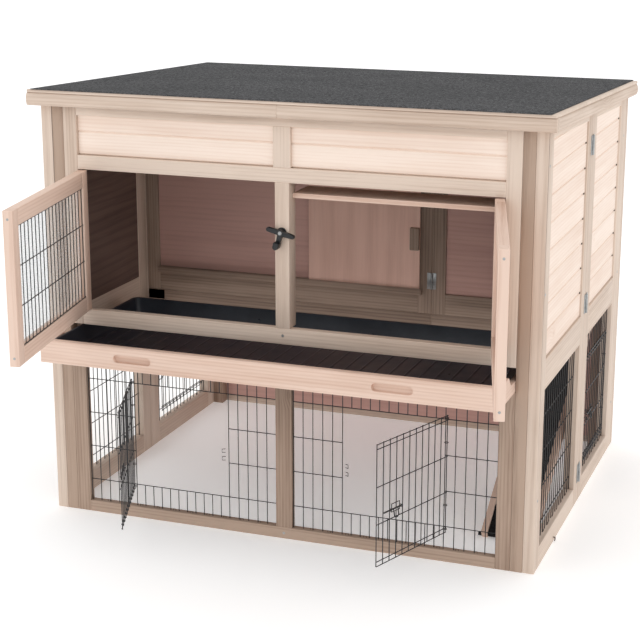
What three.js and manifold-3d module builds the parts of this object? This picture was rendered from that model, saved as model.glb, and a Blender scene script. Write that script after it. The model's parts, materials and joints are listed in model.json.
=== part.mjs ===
// Rabbit hutch: a boarded house over a wire run, with a pull-out tray between them and a sloping felt roof.
// Millimetres. +X is to the right of someone facing the doors, +Y is towards the back, +Z is up.
// The origin is on the ground, under the middle of the front bottom rail.
// The doors and the drawer stand open: each one is a group turned or moved by its own named opening.
import * as THREE from "three";
import { mergeVertices } from "three/addons/utils/BufferGeometryUtils.js";
import Module from "manifold-3d";

const wasm = await Module();
wasm.setup();

// ---- Driving dimensions -------------------------------------------------------------------------------

const width = 1120; // over the side walls
const depth = 887; // front face to back face
const frontHeight = 930; // ground to the underside of the roof, at the front face
const roofFall = 0.042; // the roof drops this much for each millimetre towards the back
const gap = 0.3; // between pieces that touch

const sideThickness = 25;
const frontThickness = 20;
const postWidth = 27;
const postDepth = 30;

const frontStile = 32;
const bottomRail = 26;
const hiddenRail = 26; // top rail of the run's front, behind the drawer front
const runHeight = 392; // ground to the top of the run's front frame
const drawerSlot = 53;
const sillRail = 35;
const centrePost = 32;
const centrePostDepth = 38;
const runMullion = 37;
const headerRail = 31;
const headerMullion = 39;
const headerMullionLap = 5; // the mullion runs this far into the rails over and under it
const headerBoards = 86;
const headerBoardPitch = 50;
const headerBoardInset = 2; // from the back of the frame
const topRail = 18;
const rimGap = 1; // between the top of the frames and the roof

const sideStile = 42;
const meetingStile = 45; // the two stiles where a front and a back side panel meet
const backSideStile = 67;
const sideBottomRail = 45;
const sideMidRail = 65;
const sideTopRail = 17;
const sideFaceSetback = 4; // boards lie this far behind the face of their frame

const boardThickness = 10;
const boardPitch = 56;
const vGroove = 3;
const plywood = 5;

const wire = 2.2;
const wirePitch = 21;
const crossPitch = 80;
const crossStart = 76; // height of the lowest cross wire of the run

const wireDoorWidth = 237;
const wireDoorLap = 10; // the door stands over its opening by this much, top and bottom
const wireDoorSideLap = 5;
const wireDoorOpen = 70;
const sideDoorFromStile = 20;
const wireDoorGap = 1.3; // between a wire door and the mesh behind it
const boltLength = 60;
const boltRod = 2.4; // thickness of a bolt and of its finger loop
const boltLoopStart = 8;
const boltLoopWidth = 24;
const boltLoopBelow = 10;
const boltLoopAbove = 13;
const boltFromEdge = 20; // the bolt stops this far short of the door's free edge
const boltDrop = 20; // below the middle of the door

const leafClearance = 1.5; // between a house door and the frame round it
const doorRail = 34;
const doorStile = 32;
const doorHinge = 1; // pivot line, at the front face, to the frame beside it
const doorHingeGap = 0.5; // pivot line to the edge of the leaf
const leftDoorOpen = 80;
const rightDoorOpen = 105;
const paneThickness = 3;
const paneSetback = 4;
const doorMeshRows = 3;
const doorMeshFromBack = 5;
const doorBoardSetback = 3;

const latchRise = 209; // over the foot of the doorways
const latchWing = 32;
const latchWingHeight = 12;
const latchLever = 31;
const latchTilt = 14;
const latchPlate = 11; // radius
const latchHub = 16; // how far the hub stands out
const latchPlateThickness = 2.5;
const latchWingFront = 10; // faces of the wings, the lever and its grip, in front of the plate
const latchLeverFront = 11;
const latchGripFront = 22;
const latchSink = 1; // wings, lever and grip grow out of the hub from here
const latchLeverWidth = 11;
const latchGripWidth = 14;
const latchGripBelow = 3; // the grip's ends, below and above the end of the lever
const latchGripAbove = 10;

const drawerFrontThickness = 16;
const drawerFrontHeight = 50;
const drawerSide = 12;
const drawerSideHigh = 46;
const drawerSideLow = 24;
const drawerStepLength = 70;
const drawerStepSlope = 20;
const drawerClearance = 0.6;
const drawerRise = 1.2; // under the drawer
const drawerFromPartition = 3;
const drawerPull = 140;
const fingerSlotLength = 88;
const fingerSlotHeight = 18;
const fingerSlotFromCentre = 289;
const fingerSlotDepth = 10;
const trayWall = 2;
const trayLip = 8;
const trayDepth = 42;
const trayGap = 1; // all round, inside the drawer's frame
const trayRise = 2; // tray floor over the underside of the drawer
const trayRib = 2;
const trayRibWidth = 6;
const trayRibPitch = 66;
const trayRibMargin = 20;

const partitionThickness = 18;
const partitionStile = 33;
const partitionRail = 50;
const partitionSetback = 1.5; // behind the line where the side panels meet
const narrowPartition = 337; // width of the right-hand partition panel
const passageWidth = 245;
const passageHeight = 220;
const slideDoorWidth = 275;
const slideDoorLap = 26;
const slideDoorStileLap = 5; // the closed door stands this far over the stile beside it
const slideHandleWidth = 22;
const slideHandleHeight = 53;
const slideHandleThickness = 10;
const slideHandleRise = 92; // over the track
const trackDepth = 12;
const trackHeight = 15;
const trackRise = 11; // over the rail that carries it
const trackEnd = 5; // the track runs on past the closed door
const trackGroove = 7;
const trackLip = 3; // wood in front of the groove
const trackBack = 2; // wood behind it
const slideDoorPlay = 1; // under and in front of the door in its groove
const passageSill = 3; // over the track
const infillSetback = 4;

const floorRise = 35; // floor of the back room, over the top of the run's front
const floorThickness = 9;
const ledgeWidth = 45;
const ledgeHeight = 20;
const rampOpeningWidth = 140;
const rampOpeningLength = 260;

const rampWidth = 120;
const rampFromWall = 8;
const rampAngle = 31.2;
const rampBoard = 9;
const rampRail = 14;
const rampRailHeight = 22;
const rampEndGap = 8;

const stopBoardThickness = 10.5;
const stopBoardTop = 24; // below the header rail
const stopBoardDepth = 90;

const roofOverhang = 20;
const roofFrontOverhang = 30;
const roofBackOverhang = 14;
const trimHeight = 28;
const trimThickness = 24;
const sideTrimThickness = 19;
const roofPly = 6;
const roofPlyInset = 2;
const roofBatten = 40;
const felt = 3;
const feltLap = 1;

// ---- Sizes worked out from them -----------------------------------------------------------------------

const half = width / 2;
const innerHalf = half - sideThickness;
const frameHalf = innerHalf - postWidth;
const openingHalf = frameHalf - frontStile;
const houseBottom = runHeight + drawerSlot;
const doorBottom = houseBottom + sillRail;
const latchHeight = doorBottom + latchRise;
const floorTop = runHeight + floorRise;
const headerTop = frontHeight - topRail - rimGap;
const doorTop = headerTop - headerBoards - headerRail;
const meeting = depth / 2;
const sideEnd = depth - sideThickness; // the back wall covers the ends of the side walls
const midRailTop = runHeight + sideMidRail;
const partitionFront = meeting + partitionSetback;
const radians = Math.PI / 180;

const arcSteps = 6; // straight steps in each rounded stretch
const trimSteps = 8; // and in the roof trim's nose

// Height of the top of the walls at a distance from the front face.
const wallTop = (y) => frontHeight - roofFall * y;

// ---- Materials ----------------------------------------------------------------------------------------

const finish = (color, roughness, metalness = 0, opacity = 1) =>
  new THREE.MeshStandardMaterial({ color, roughness, metalness, opacity, transparent: opacity < 1 });

const stainedTimber = finish("#b8a48e", 0.75);
const creamBoard = finish("#ecd9c4", 0.7);
const naturalPine = finish("#e8cbb0", 0.65);
const brownPlywood = finish("#8a6a5c", 0.8);
const darkTimber = finish("#7d6a5a", 0.8);
const roofFelt = finish("#48494a", 0.95);
const blackWire = finish("#1c1c1e", 0.45, 0.6);
const blackPlastic = finish("#141518", 0.4);
const clearPane = finish("#dfe8ea", 0.05, 0, 0.3);

// ---- Geometry helpers ---------------------------------------------------------------------------------

// A closed geometry as a solid that can be joined and cut.
function solid(geometry) {
  const bare = geometry.index ? geometry.toNonIndexed() : geometry.clone();
  bare.deleteAttribute("normal");
  bare.deleteAttribute("uv");
  const merged = mergeVertices(bare, 1e-4);
  return new wasm.Manifold(
    new wasm.Mesh({
      numProp: 3,
      vertProperties: new Float32Array(merged.attributes.position.array),
      triVerts: new Uint32Array(merged.index.array),
    }),
  );
}

// A solid back as a geometry with flat faces.
function geometryOf(shape) {
  const mesh = shape.getMesh();
  const geometry = new THREE.BufferGeometry();
  geometry.setAttribute("position", new THREE.BufferAttribute(new Float32Array(mesh.vertProperties), 3));
  geometry.setIndex(new THREE.BufferAttribute(new Uint32Array(mesh.triVerts), 1));
  const flat = geometry.toNonIndexed();
  flat.computeVertexNormals();
  return flat;
}

const join = (...parts) => geometryOf(parts.map(solid).reduce((a, b) => a.add(b)));
const cut = (body, ...tools) => geometryOf(tools.map(solid).reduce((a, b) => a.subtract(b), solid(body)));
const common = (a, b) => geometryOf(solid(a).intersect(solid(b)));

function block(x0, x1, y0, y1, z0, z1) {
  const size = [Math.abs(x1 - x0), Math.abs(y1 - y0), Math.abs(z1 - z0)];
  return new THREE.BoxGeometry(...size).translate((x0 + x1) / 2, (y0 + y1) / 2, (z0 + z1) / 2);
}

// A cylinder along a unit direction, from a start point.
function rod(start, direction, length, radius, sides = 12) {
  const axis = new THREE.Vector3(...direction).normalize();
  const turn = new THREE.Quaternion().setFromUnitVectors(new THREE.Vector3(0, 1, 0), axis);
  const middle = new THREE.Vector3(...start).addScaledVector(axis, length / 2);
  return new THREE.CylinderGeometry(radius, radius, length, sides)
    .applyQuaternion(turn)
    .translate(middle.x, middle.y, middle.z);
}

function rectanglePath(target, u0, u1, v0, v1) {
  const [a, b] = [Math.min(u0, u1), Math.max(u0, u1)];
  target.moveTo(a, v0);
  target.lineTo(b, v0);
  target.lineTo(b, v1);
  target.lineTo(a, v1);
  target.closePath();
  return target;
}

const rectangle = (u0, u1, v0, v1) => rectanglePath(new THREE.Shape(), u0, u1, v0, v1);
const rectangleHole = (u0, u1, v0, v1) => rectanglePath(new THREE.Path(), u0, u1, v0, v1);

function polygonPath(target, points) {
  target.setFromPoints(points.map(([u, v]) => new THREE.Vector2(u, v)));
  return target;
}

// A four-sided field of a side wall: level at the bottom, under the roof line less a margin at the top.
function slopedPoints(y0, y1, z0, margin) {
  return [
    [y0, z0],
    [y1, z0],
    [y1, wallTop(y1) - margin],
    [y0, wallTop(y0) - margin],
  ];
}

// A flat shape given a thickness along +Z, with its holes cut right through.
function drawn(shape, thickness) {
  const { shape: outline, holes } = shape.extractPoints(arcSteps);
  const slab = (points, depth) =>
    new THREE.ExtrudeGeometry(new THREE.Shape(points), { depth, bevelEnabled: false });
  const body = slab(outline, thickness);
  if (!holes.length) return body;
  const cutters = holes.map((points) => slab(points, thickness + 2).translate(0, 0, -1));
  return cut(body, ...cutters);
}

// Stands a flat piece up to face the front: its drawing lies in X and Z, from y0 backwards.
const facingFront = (geometry, y0, thickness) =>
  geometry.rotateX(Math.PI / 2).translate(0, y0 + thickness, 0);

// Stands a flat piece up to face the side: its drawing lies in Y and Z, from x0 to the right.
const facingSide = (geometry, x0) =>
  geometry.rotateX(Math.PI / 2).rotateZ(Math.PI / 2).translate(x0, 0, 0);

const frontPlate = (shape, y0, thickness) => facingFront(drawn(shape, thickness), y0, thickness);
const sidePlate = (shape, x0, thickness) => facingSide(drawn(shape, thickness), x0);

function withHoles(shape, ...holes) {
  shape.holes.push(...holes);
  return shape;
}

// Evenly spaced lines from a to b, as near the wanted pitch as whole spaces allow.
function lines(a, b, pitch) {
  const spaces = Math.max(1, Math.round(Math.abs(b - a) / pitch));
  return Array.from({ length: spaces + 1 }, (_, i) => a + ((b - a) * i) / spaces);
}

// The bands that wires and the spaces between them make along one direction, in order.
// Free ends, where given, are spaces beyond the first and last wire.
function bands(centres, ends) {
  const r = wire / 2;
  const sorted = [...centres].sort((a, b) => a - b);
  const out = ends ? [{ from: ends[0], to: sorted[0] - r, solid: false }] : [];
  sorted.forEach((c, i) => {
    if (i) out.push({ from: sorted[i - 1] + r, to: c - r, solid: false });
    out.push({ from: c - r, to: c + r, solid: true });
  });
  if (ends) out.push({ from: sorted.at(-1) + r, to: ends[1], solid: false });
  return out;
}

// Welded mesh as one flat grid lying in u, v: wires at us and vs, and one clear opening where one is given.
// The wires at us run on past the outer wires at vs to the free ends.
function grid(us, vs, { ends, opening } = {}) {
  const columns = bands(us);
  const rows = bands(vs, ends);
  const inside = (band, low, high) => band.from > low && band.to < high;
  const filled = (i, j) => {
    const [column, row] = [columns[i], rows[j]];
    if (!column || !row) return false;
    const cleared =
      opening &&
      inside(column, opening.u0, opening.u1) &&
      inside(row, opening.v0, opening.v1);
    return (column.solid || row.solid) && !cleared;
  };
  const triangles = [];
  const quad = (p, q, r, s) => triangles.push(...p, ...q, ...r, ...p, ...r, ...s);
  columns.forEach(({ from: a, to: b }, i) =>
    rows.forEach(({ from: c, to: d }, j) => {
      if (!filled(i, j)) return;
      const t = wire;
      quad([a, c, t], [b, c, t], [b, d, t], [a, d, t]);
      quad([a, d, 0], [b, d, 0], [b, c, 0], [a, c, 0]);
      if (!filled(i - 1, j)) quad([a, d, 0], [a, c, 0], [a, c, t], [a, d, t]);
      if (!filled(i + 1, j)) quad([b, c, 0], [b, d, 0], [b, d, t], [b, c, t]);
      if (!filled(i, j - 1)) quad([a, c, 0], [b, c, 0], [b, c, t], [a, c, t]);
      if (!filled(i, j + 1)) quad([b, d, 0], [a, d, 0], [a, d, t], [b, d, t]);
    }),
  );
  const mesh = new THREE.BufferGeometry();
  mesh.setAttribute("position", new THREE.Float32BufferAttribute(triangles, 3));
  mesh.computeVertexNormals();
  return mesh;
}

// Grooved boards, lying along u between u0 and u1, with a V on the face at each joint.
// The profile is drawn as depth behind the face against height.
function boardProfile(z0, z1, pitch) {
  const points = [[0, z0]];
  for (let z = z0 + pitch; z < z1 - vGroove * 2; z += pitch)
    points.push([0, z - vGroove], [vGroove, z], [0, z + vGroove]);
  points.push([0, z1], [boardThickness, z1], [boardThickness, z0]);
  return points;
}

// Boards facing the front, from x0 to x1, with their face at y.
function frontBoards(x0, x1, z0, z1, y, pitch) {
  const shape = polygonPath(new THREE.Shape(), boardProfile(z0, z1, pitch));
  return sidewaysBoards(shape, x1 - x0).translate(x0, y, 0);
}

// A profile in Y and Z carried along +X.
function sidewaysBoards(shape, length) {
  return new THREE.ExtrudeGeometry(shape, { depth: length, bevelEnabled: false })
    .rotateX(Math.PI / 2)
    .rotateZ(Math.PI / 2);
}

// ---- The object and its groups ------------------------------------------------------------------------

const hutch = new THREE.Group();
hutch.position.y = -frontThickness / 2; // the front face stands half a rail in front of the origin

function add(parent, name, geometry, material) {
  const mesh = new THREE.Mesh(geometry, material);
  mesh.name = name;
  parent.add(mesh);
  return mesh;
}

const sides = [
  ["left", -1],
  ["right", 1],
];

// ---- Corner posts -------------------------------------------------------------------------------------

function cornerPosts() {
  for (const [side, s] of sides) {
    const x = [s * (innerHalf - gap), s * (frameHalf + gap)];
    add(
      hutch,
      `corner_post_front_${side}`,
      block(...x, 0, postDepth, 0, wallTop(postDepth) - gap),
      stainedTimber,
    );
    add(
      hutch,
      `corner_post_back_${side}`,
      block(...x, sideEnd - postDepth, sideEnd - gap, 0, wallTop(depth) - gap),
      stainedTimber,
    );
  }
}

// ---- Front frames -------------------------------------------------------------------------------------

const doorPivotX = openingHalf - doorHinge;

function upperFrontFrame() {
  const top = frontHeight - rimGap;
  const face = frontThickness - boardThickness - headerBoardInset;
  const postHalf = centrePost / 2;
  const shape = withHoles(
    rectangle(-frameHalf, frameHalf, houseBottom, top),
    ...sides.map(([, s]) => rectangleHole(s * postHalf, s * openingHalf, doorBottom, doorTop)),
    rectangleHole(-openingHalf, openingHalf, headerTop - headerBoards, headerTop),
  );
  const mullion = block(
    -headerMullion / 2,
    headerMullion / 2,
    0,
    face,
    headerTop - headerBoards - headerMullionLap,
    headerTop + headerMullionLap,
  );
  const post = block(
    -postHalf,
    postHalf,
    0,
    centrePostDepth,
    doorBottom - sillRail / 2,
    doorTop + headerRail / 2,
  );
  const plate = frontPlate(shape, 0, frontThickness);
  add(hutch, "upper_front_frame", join(plate, mullion, post), stainedTimber);
  const boards = frontBoards(
    -openingHalf + gap,
    openingHalf - gap,
    headerTop - headerBoards + gap,
    headerTop - gap,
    face + gap,
    headerBoardPitch,
  );
  add(hutch, "header_boards", boards, creamBoard);
}

function lowerFrontFrame() {
  const mullion = runMullion / 2;
  const shape = withHoles(
    rectangle(-frameHalf, frameHalf, 0, runHeight),
    ...sides.map(([, s]) =>
      rectangleHole(s * mullion, s * openingHalf, bottomRail, runHeight - hiddenRail),
    ),
  );
  add(hutch, "lower_front_frame", frontPlate(shape, 0, frontThickness), stainedTimber);
}

// ---- Wire fronts of the run ---------------------------------------------------------------------------

// The levels of the cross wires of a run opening.
function crossWires(top) {
  const levels = [];
  for (let z = crossStart; z < top - wirePitch; z += crossPitch) levels.push(z);
  return levels;
}

// Upright wires of a panel with a door: evenly spaced on each side of the door and across it.
function uprightsRoundDoor(u0, doorStart, doorEnd, u1) {
  return [
    ...lines(u0, doorStart, wirePitch),
    ...lines(doorStart, doorEnd, wirePitch).slice(1),
    ...lines(doorEnd, u1, wirePitch).slice(1),
  ];
}

const edge = gap + wire / 2; // from an opening's side to the middle of the mesh's border wire
const runTop = runHeight - hiddenRail;
const runLevels = crossWires(runTop);
const doorOpening = { bottom: runLevels[0], top: runLevels.at(-1) };
const wireDoorBottom = doorOpening.bottom - wireDoorLap;
const wireDoorTop = doorOpening.top + wireDoorLap;
const frontPanelCentre = (runMullion / 2 + openingHalf) / 2;
const wireDoorHingeX = frontPanelCentre + wireDoorWidth / 2;
const meshFace = frontThickness / 2 - wire / 2;
const doorPlane = meshFace - wire - wireDoorGap; // near face of a wire door, in front of its mesh

// A wire door drawn from its hinge wire outwards, in the plane u, z.
function wireDoorGrid(direction, levels) {
  const uprights = lines(0, wireDoorWidth, wirePitch).map((u) => u * direction);
  return grid(uprights, [wireDoorBottom, ...levels, wireDoorTop]);
}

const boltHeight = (wireDoorBottom + wireDoorTop) / 2 - boltDrop;

// A sliding bolt on a wire door: a bar with a loop to pull it by. Drawn in u, z and given its thickness later.
function boltShape(direction) {
  const start = wireDoorWidth - boltFromEdge - boltLength;
  const at = (u) => (start + u) * direction;
  const r = boltRod / 2;
  const [a, b] = [boltLoopStart, boltLoopStart + boltLoopWidth];
  const [low, high] = [boltHeight - boltLoopBelow, boltHeight + boltLoopAbove];
  const bar = rectangle(at(0), at(boltLength), boltHeight - r, boltHeight + r);
  const loop = withHoles(
    rectangle(at(a), at(b), low, high),
    rectangleHole(at(a + boltRod), at(b - boltRod), low + boltRod, boltHeight - r),
    rectangleHole(at(a + boltRod), at(b - boltRod), boltHeight + r, high - boltRod),
  );
  return [bar, loop];
}

// The bar and the loop of a bolt as one solid; stand gives each its place and thickness.
const boltSolid = (direction, stand) => join(...boltShape(direction).map(stand));

function frontMesh() {
  for (const [side, s] of sides) {
    const inner = runMullion / 2 + edge;
    const outer = openingHalf - edge;
    const doorStart = wireDoorHingeX - wireDoorWidth + wireDoorSideLap;
    const doorEnd = wireDoorHingeX - wireDoorSideLap;
    const uprights = uprightsRoundDoor(inner, doorStart, doorEnd, outer).map((x) => x * s);
    const ends = [bottomRail + gap, runTop - gap];
    const opening = {
      u0: Math.min(s * doorStart, s * doorEnd),
      u1: Math.max(s * doorStart, s * doorEnd),
      v0: doorOpening.bottom,
      v1: doorOpening.top,
    };
    add(
      hutch,
      `front_mesh_${side}`,
      facingFront(grid(uprights, runLevels, { ends, opening }), meshFace, wire),
      blackWire,
    );
    const door = new THREE.Group();
    door.position.set(s * wireDoorHingeX, doorPlane + wire / 2, 0);
    door.rotation.z = s * wireDoorOpen * radians;
    hutch.add(door);
    const leaf = wireDoorGrid(-s, runLevels.slice(1, -1));
    add(door, `wire_door_${side}`, facingFront(leaf, -wire / 2, wire), blackWire);
    const boltFace = -wire / 2 - gap - boltRod;
    const bolt = boltSolid(-s, (shape) => frontPlate(shape, boltFace, boltRod));
    add(door, `wire_bolt_${side}`, bolt, blackWire);
  }
}

// ---- Side walls ---------------------------------------------------------------------------------------

// One half of a side wall: a frame with a boarded field above and an open window below.
function sideHalf(side, s, name, y0, y1, firstStile, lastStile) {
  const field = [y0 + firstStile, y1 - lastStile];
  const outline = polygonPath(new THREE.Shape(), slopedPoints(y0, y1, 0, rimGap));
  const shape = withHoles(
    outline,
    polygonPath(new THREE.Path(), slopedPoints(...field, midRailTop, sideTopRail)),
    rectangleHole(...field, sideBottomRail, runHeight),
  );
  const x0 = s > 0 ? innerHalf : -half;
  add(hutch, `side_frame_${side}_${name}`, sidePlate(shape, x0, sideThickness), stainedTimber);

  // The boards face outwards, set back a little from the frame.
  const fieldShape = polygonPath(
    new THREE.Shape(),
    slopedPoints(field[0] + gap, field[1] - gap, midRailTop + gap, sideTopRail + gap),
  );
  const boardsTop = wallTop(field[0]);
  const profile = polygonPath(new THREE.Shape(), boardProfile(midRailTop + gap, boardsTop, boardPitch));
  const face = half - sideFaceSetback;
  const boards = new THREE.ExtrudeGeometry(profile, { depth: field[1] - field[0], bevelEnabled: false })
    .rotateX(Math.PI / 2) // depth behind the face, then along the wall, then height
    .rotateZ(s > 0 ? Math.PI : 0)
    .translate(s * face, s > 0 ? field[0] : field[1], 0);
  const slice = sidePlate(fieldShape, s > 0 ? innerHalf : -half, sideThickness);
  add(hutch, `side_boards_${side}_${name}`, common(boards, slice), creamBoard);
  return field;
}

const sideMeshX = half - sideThickness / 2 - wire / 2;
const sideEnds = [sideBottomRail + gap, runHeight - gap];
const sideLevels = [doorOpening.bottom, doorOpening.top];

function sideMeshFront(side, s, field) {
  const uprights = lines(field[0] + edge, field[1] - edge, wirePitch);
  const x0 = s > 0 ? sideMeshX : -sideMeshX - wire;
  const mesh = grid(uprights, sideLevels, { ends: sideEnds });
  add(hutch, `side_mesh_${side}_front`, facingSide(mesh, x0), blackWire);
}

function sideMeshBack(side, s, field) {
  const hinge = field[1] - sideDoorFromStile;
  const doorEnd = hinge - wireDoorSideLap;
  const doorStart = hinge - wireDoorWidth + wireDoorSideLap;
  const uprights = uprightsRoundDoor(field[0] + edge, doorStart, doorEnd, field[1] - edge);
  const opening = { u0: doorStart, u1: doorEnd, v0: doorOpening.bottom, v1: doorOpening.top };
  const x0 = s > 0 ? sideMeshX : -sideMeshX - wire;
  add(
    hutch,
    `side_mesh_${side}_back`,
    facingSide(grid(uprights, sideLevels, { ends: sideEnds, opening }), x0),
    blackWire,
  );
  // The side door hangs on its rear wire and stands closed, just outside its mesh.
  const door = new THREE.Group();
  door.position.set(s * (sideMeshX + wire + wireDoorGap + wire / 2), hinge, 0);
  hutch.add(door);
  add(door, `side_wire_door_${side}`, facingSide(wireDoorGrid(-1, []), -wire / 2), blackWire);
  const boltFace = s > 0 ? wire / 2 + gap : -wire / 2 - gap - boltRod;
  const bolt = boltSolid(-1, (shape) => sidePlate(shape, boltFace, boltRod));
  add(door, `side_wire_bolt_${side}`, bolt, blackWire);
}

function sideWalls() {
  for (const [side, s] of sides) {
    const front = sideHalf(side, s, "front", 0, meeting - gap / 2, sideStile, meetingStile);
    const back = sideHalf(side, s, "back", meeting + gap / 2, sideEnd - gap, meetingStile, backSideStile);
    sideMeshFront(side, s, front);
    sideMeshBack(side, s, back);
  }
}

// ---- Back wall ----------------------------------------------------------------------------------------

const backStile = 45;
const backBottomRail = 26;
const backMidRail = 45;
const backLap = 10; // the back panel lies this far over its frame

function backWall() {
  const top = wallTop(depth) - gap;
  const middle = backStile / 2;
  const middleTop = runHeight + backMidRail;
  const shape = withHoles(
    rectangle(-half, half, 0, top),
    rectangleHole(-half + backStile, half - backStile, backBottomRail, runHeight),
    rectangleHole(-half + backStile, -middle, middleTop, top - backStile),
    rectangleHole(middle, half - backStile, middleTop, top - backStile),
  );
  const side = half - backStile + backLap;
  const low = backBottomRail - backLap;
  const high = top - backStile + backLap;
  const rebate = frontPlate(rectangle(-side, side, low, high), sideEnd, plywood + gap);
  add(hutch, "back_frame", cut(frontPlate(shape, sideEnd, sideThickness), rebate), stainedTimber);
  const loose = gap * 2;
  const panel = rectangle(-side + loose, side - loose, low + loose, high - loose);
  add(hutch, "back_panel", frontPlate(panel, sideEnd + gap, plywood - gap), brownPlywood);
}

// ---- Floor of the back room, and the ledges that carry it and the drawer ------------------------------

const rampRight = innerHalf - rampFromWall;
const rampLeft = rampRight - rampWidth;
const rampHeadY = sideEnd - postDepth - rampEndGap;
const floorBottom = floorTop - floorThickness;
const partitionY = partitionFront + 1;
const floorFront = partitionY + partitionThickness + gap; // the partition covers the floor's front edge

function floorAndLedges() {
  for (const [side, s] of sides) {
    const x0 = s > 0 ? innerHalf - gap - ledgeWidth : -innerHalf + gap;
    const start = postDepth + gap;
    const end = sideEnd - postDepth - gap;
    const profile = polygonPath(new THREE.Shape(), [
      [start, runHeight - ledgeHeight],
      [end, runHeight - ledgeHeight],
      [end, floorBottom - gap],
      [partitionY, floorBottom - gap],
      [partitionY, runHeight],
      [start, runHeight],
    ]);
    // On the right the ledge stops at the ramp's opening.
    const ledge = sidePlate(profile, x0, ledgeWidth);
    const clear = block(0, half, rampHeadY - rampOpeningLength, depth, 0, frontHeight);
    add(hutch, `ledge_${side}`, s > 0 ? cut(ledge, clear) : ledge, darkTimber);
  }
  const right = innerHalf - gap;
  const back = sideEnd - postDepth - gap;
  const outline = polygonPath(new THREE.Shape(), [
    [-innerHalf + gap, floorFront],
    [right, floorFront],
    [right, rampHeadY - rampOpeningLength],
    [innerHalf - rampOpeningWidth, rampHeadY - rampOpeningLength],
    [innerHalf - rampOpeningWidth, back],
    [-innerHalf + gap, back],
  ]);
  const floor = new THREE.ExtrudeGeometry(outline, { depth: floorThickness, bevelEnabled: false });
  add(hutch, "back_floor", floor.translate(0, 0, floorBottom), brownPlywood);
}

// ---- Partition between the front room and the back room -----------------------------------------------

const splitX = innerHalf - narrowPartition;
const partitionBottom = floorBottom; // it stands on the ledges, as the floor does
const partitionTop = wallTop(partitionY + partitionThickness) - gap * 2;
const slideRight = splitX - partitionStile + slideDoorStileLap;
const passageRight = slideRight - (slideDoorWidth - passageWidth) / 2;
const trackTop = partitionBottom + partitionRail + trackRise;
const passageBottom = trackTop + passageSill;

function partitionPanel(name, x0, x1, infillHole, track) {
  const shape = withHoles(
    rectangle(x0, x1, partitionBottom, partitionTop),
    rectangleHole(
      x0 + partitionStile,
      x1 - partitionStile,
      partitionBottom + partitionRail,
      partitionTop - partitionRail,
    ),
  );
  const frame = frontPlate(shape, partitionY, partitionThickness);
  add(hutch, `partition_frame_${name}`, track ? join(frame, track) : frame, stainedTimber);
  const infill = rectangle(
    x0 + partitionStile + gap,
    x1 - partitionStile - gap,
    partitionBottom + partitionRail + gap,
    partitionTop - partitionRail - gap,
  );
  if (infillHole) infill.holes.push(infillHole);
  add(
    hutch,
    `partition_panel_${name}`,
    frontPlate(infill, partitionY + infillSetback, plywood),
    brownPlywood,
  );
}

function partition() {
  const hole = rectangleHole(
    passageRight - passageWidth,
    passageRight,
    passageBottom,
    passageBottom + passageHeight,
  );
  // A grooved track glued along the rail carries the sliding door.
  const trackFront = partitionY - gap - trackDepth;
  const track = block(
    -innerHalf + partitionStile,
    slideRight + trackEnd,
    trackFront,
    partitionY + gap,
    trackTop - trackHeight,
    trackTop,
  );
  const groove = block(
    -width,
    width,
    trackFront + trackLip,
    partitionY - gap - trackBack,
    trackTop - trackGroove,
    trackTop + trackGroove,
  );
  partitionPanel("left", -innerHalf + gap, splitX - gap / 2, hole, cut(track, groove));
  partitionPanel("right", splitX + gap / 2, innerHalf - gap);

  // The sliding door stands closed, its lower edge in the track.
  const y0 = trackFront + trackLip + slideDoorPlay;
  const doorBase = trackTop - trackGroove + slideDoorPlay;
  const top = passageBottom + passageHeight + slideDoorLap;
  const leaf = block(slideRight - slideDoorWidth, slideRight, y0, y0 + plywood, doorBase, top);
  const grip = block(
    slideRight - slideHandleWidth,
    slideRight,
    y0 - slideHandleThickness,
    y0 + plywood / 2,
    trackTop + slideHandleRise,
    trackTop + slideHandleRise + slideHandleHeight,
  );
  add(hutch, "slide_door", join(leaf, grip), brownPlywood);
}

// ---- House doors --------------------------------------------------------------------------------------

const leafBottom = doorBottom + leafClearance;
const leafTop = doorTop - leafClearance;
const leafReach = doorPivotX - centrePost / 2 - leafClearance;

// A door frame drawn from its pivot line towards the middle of the hutch, behind the front face.
function doorFrame(direction) {
  const outline = rectangle(direction * doorHingeGap, direction * leafReach, leafBottom, leafTop);
  const hole = rectangleHole(
    direction * doorStile,
    direction * (leafReach - doorStile),
    leafBottom + doorRail,
    leafTop - doorRail,
  );
  return frontPlate(withHoles(outline, hole), 0, frontThickness);
}

// The field inside a door frame, less the fitting gap.
function doorField(direction) {
  return {
    u0: direction * (doorStile + gap),
    u1: direction * (leafReach - doorStile - gap),
    v0: leafBottom + doorRail + gap,
    v1: leafTop - doorRail - gap,
  };
}

function houseDoorGroup(s, open) {
  const door = new THREE.Group();
  door.position.set(s * doorPivotX, 0, 0);
  door.rotation.z = s * open * radians;
  hutch.add(door);
  return door;
}

function leftDoor() {
  const door = houseDoorGroup(-1, leftDoorOpen);
  add(door, "left_door_frame", doorFrame(1), naturalPine);
  const { u0, u1, v0, v1 } = doorField(1);
  const r = wire / 2;
  const mesh = grid(
    lines(u0 + r, u1 - r, wirePitch),
    lines(v0 + r, v1 - r, (v1 - v0) / doorMeshRows),
  );
  add(door, "left_door_mesh", facingFront(mesh, frontThickness - doorMeshFromBack, wire), blackWire);
  const pane = frontPlate(rectangle(u0, u1, v0, v1), paneSetback, paneThickness);
  add(door, "left_door_pane", pane, clearPane);
}

function rightDoor() {
  const door = houseDoorGroup(1, rightDoorOpen);
  add(door, "right_door_frame", doorFrame(-1), naturalPine);
  const { u0, u1, v0, v1 } = doorField(-1);
  const [x0, x1] = [Math.min(u0, u1), Math.max(u0, u1)];
  const boards = frontBoards(x0, x1, v0, v1, doorBoardSetback, boardPitch);
  add(door, "right_door_boards", boards, naturalPine);
}

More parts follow.
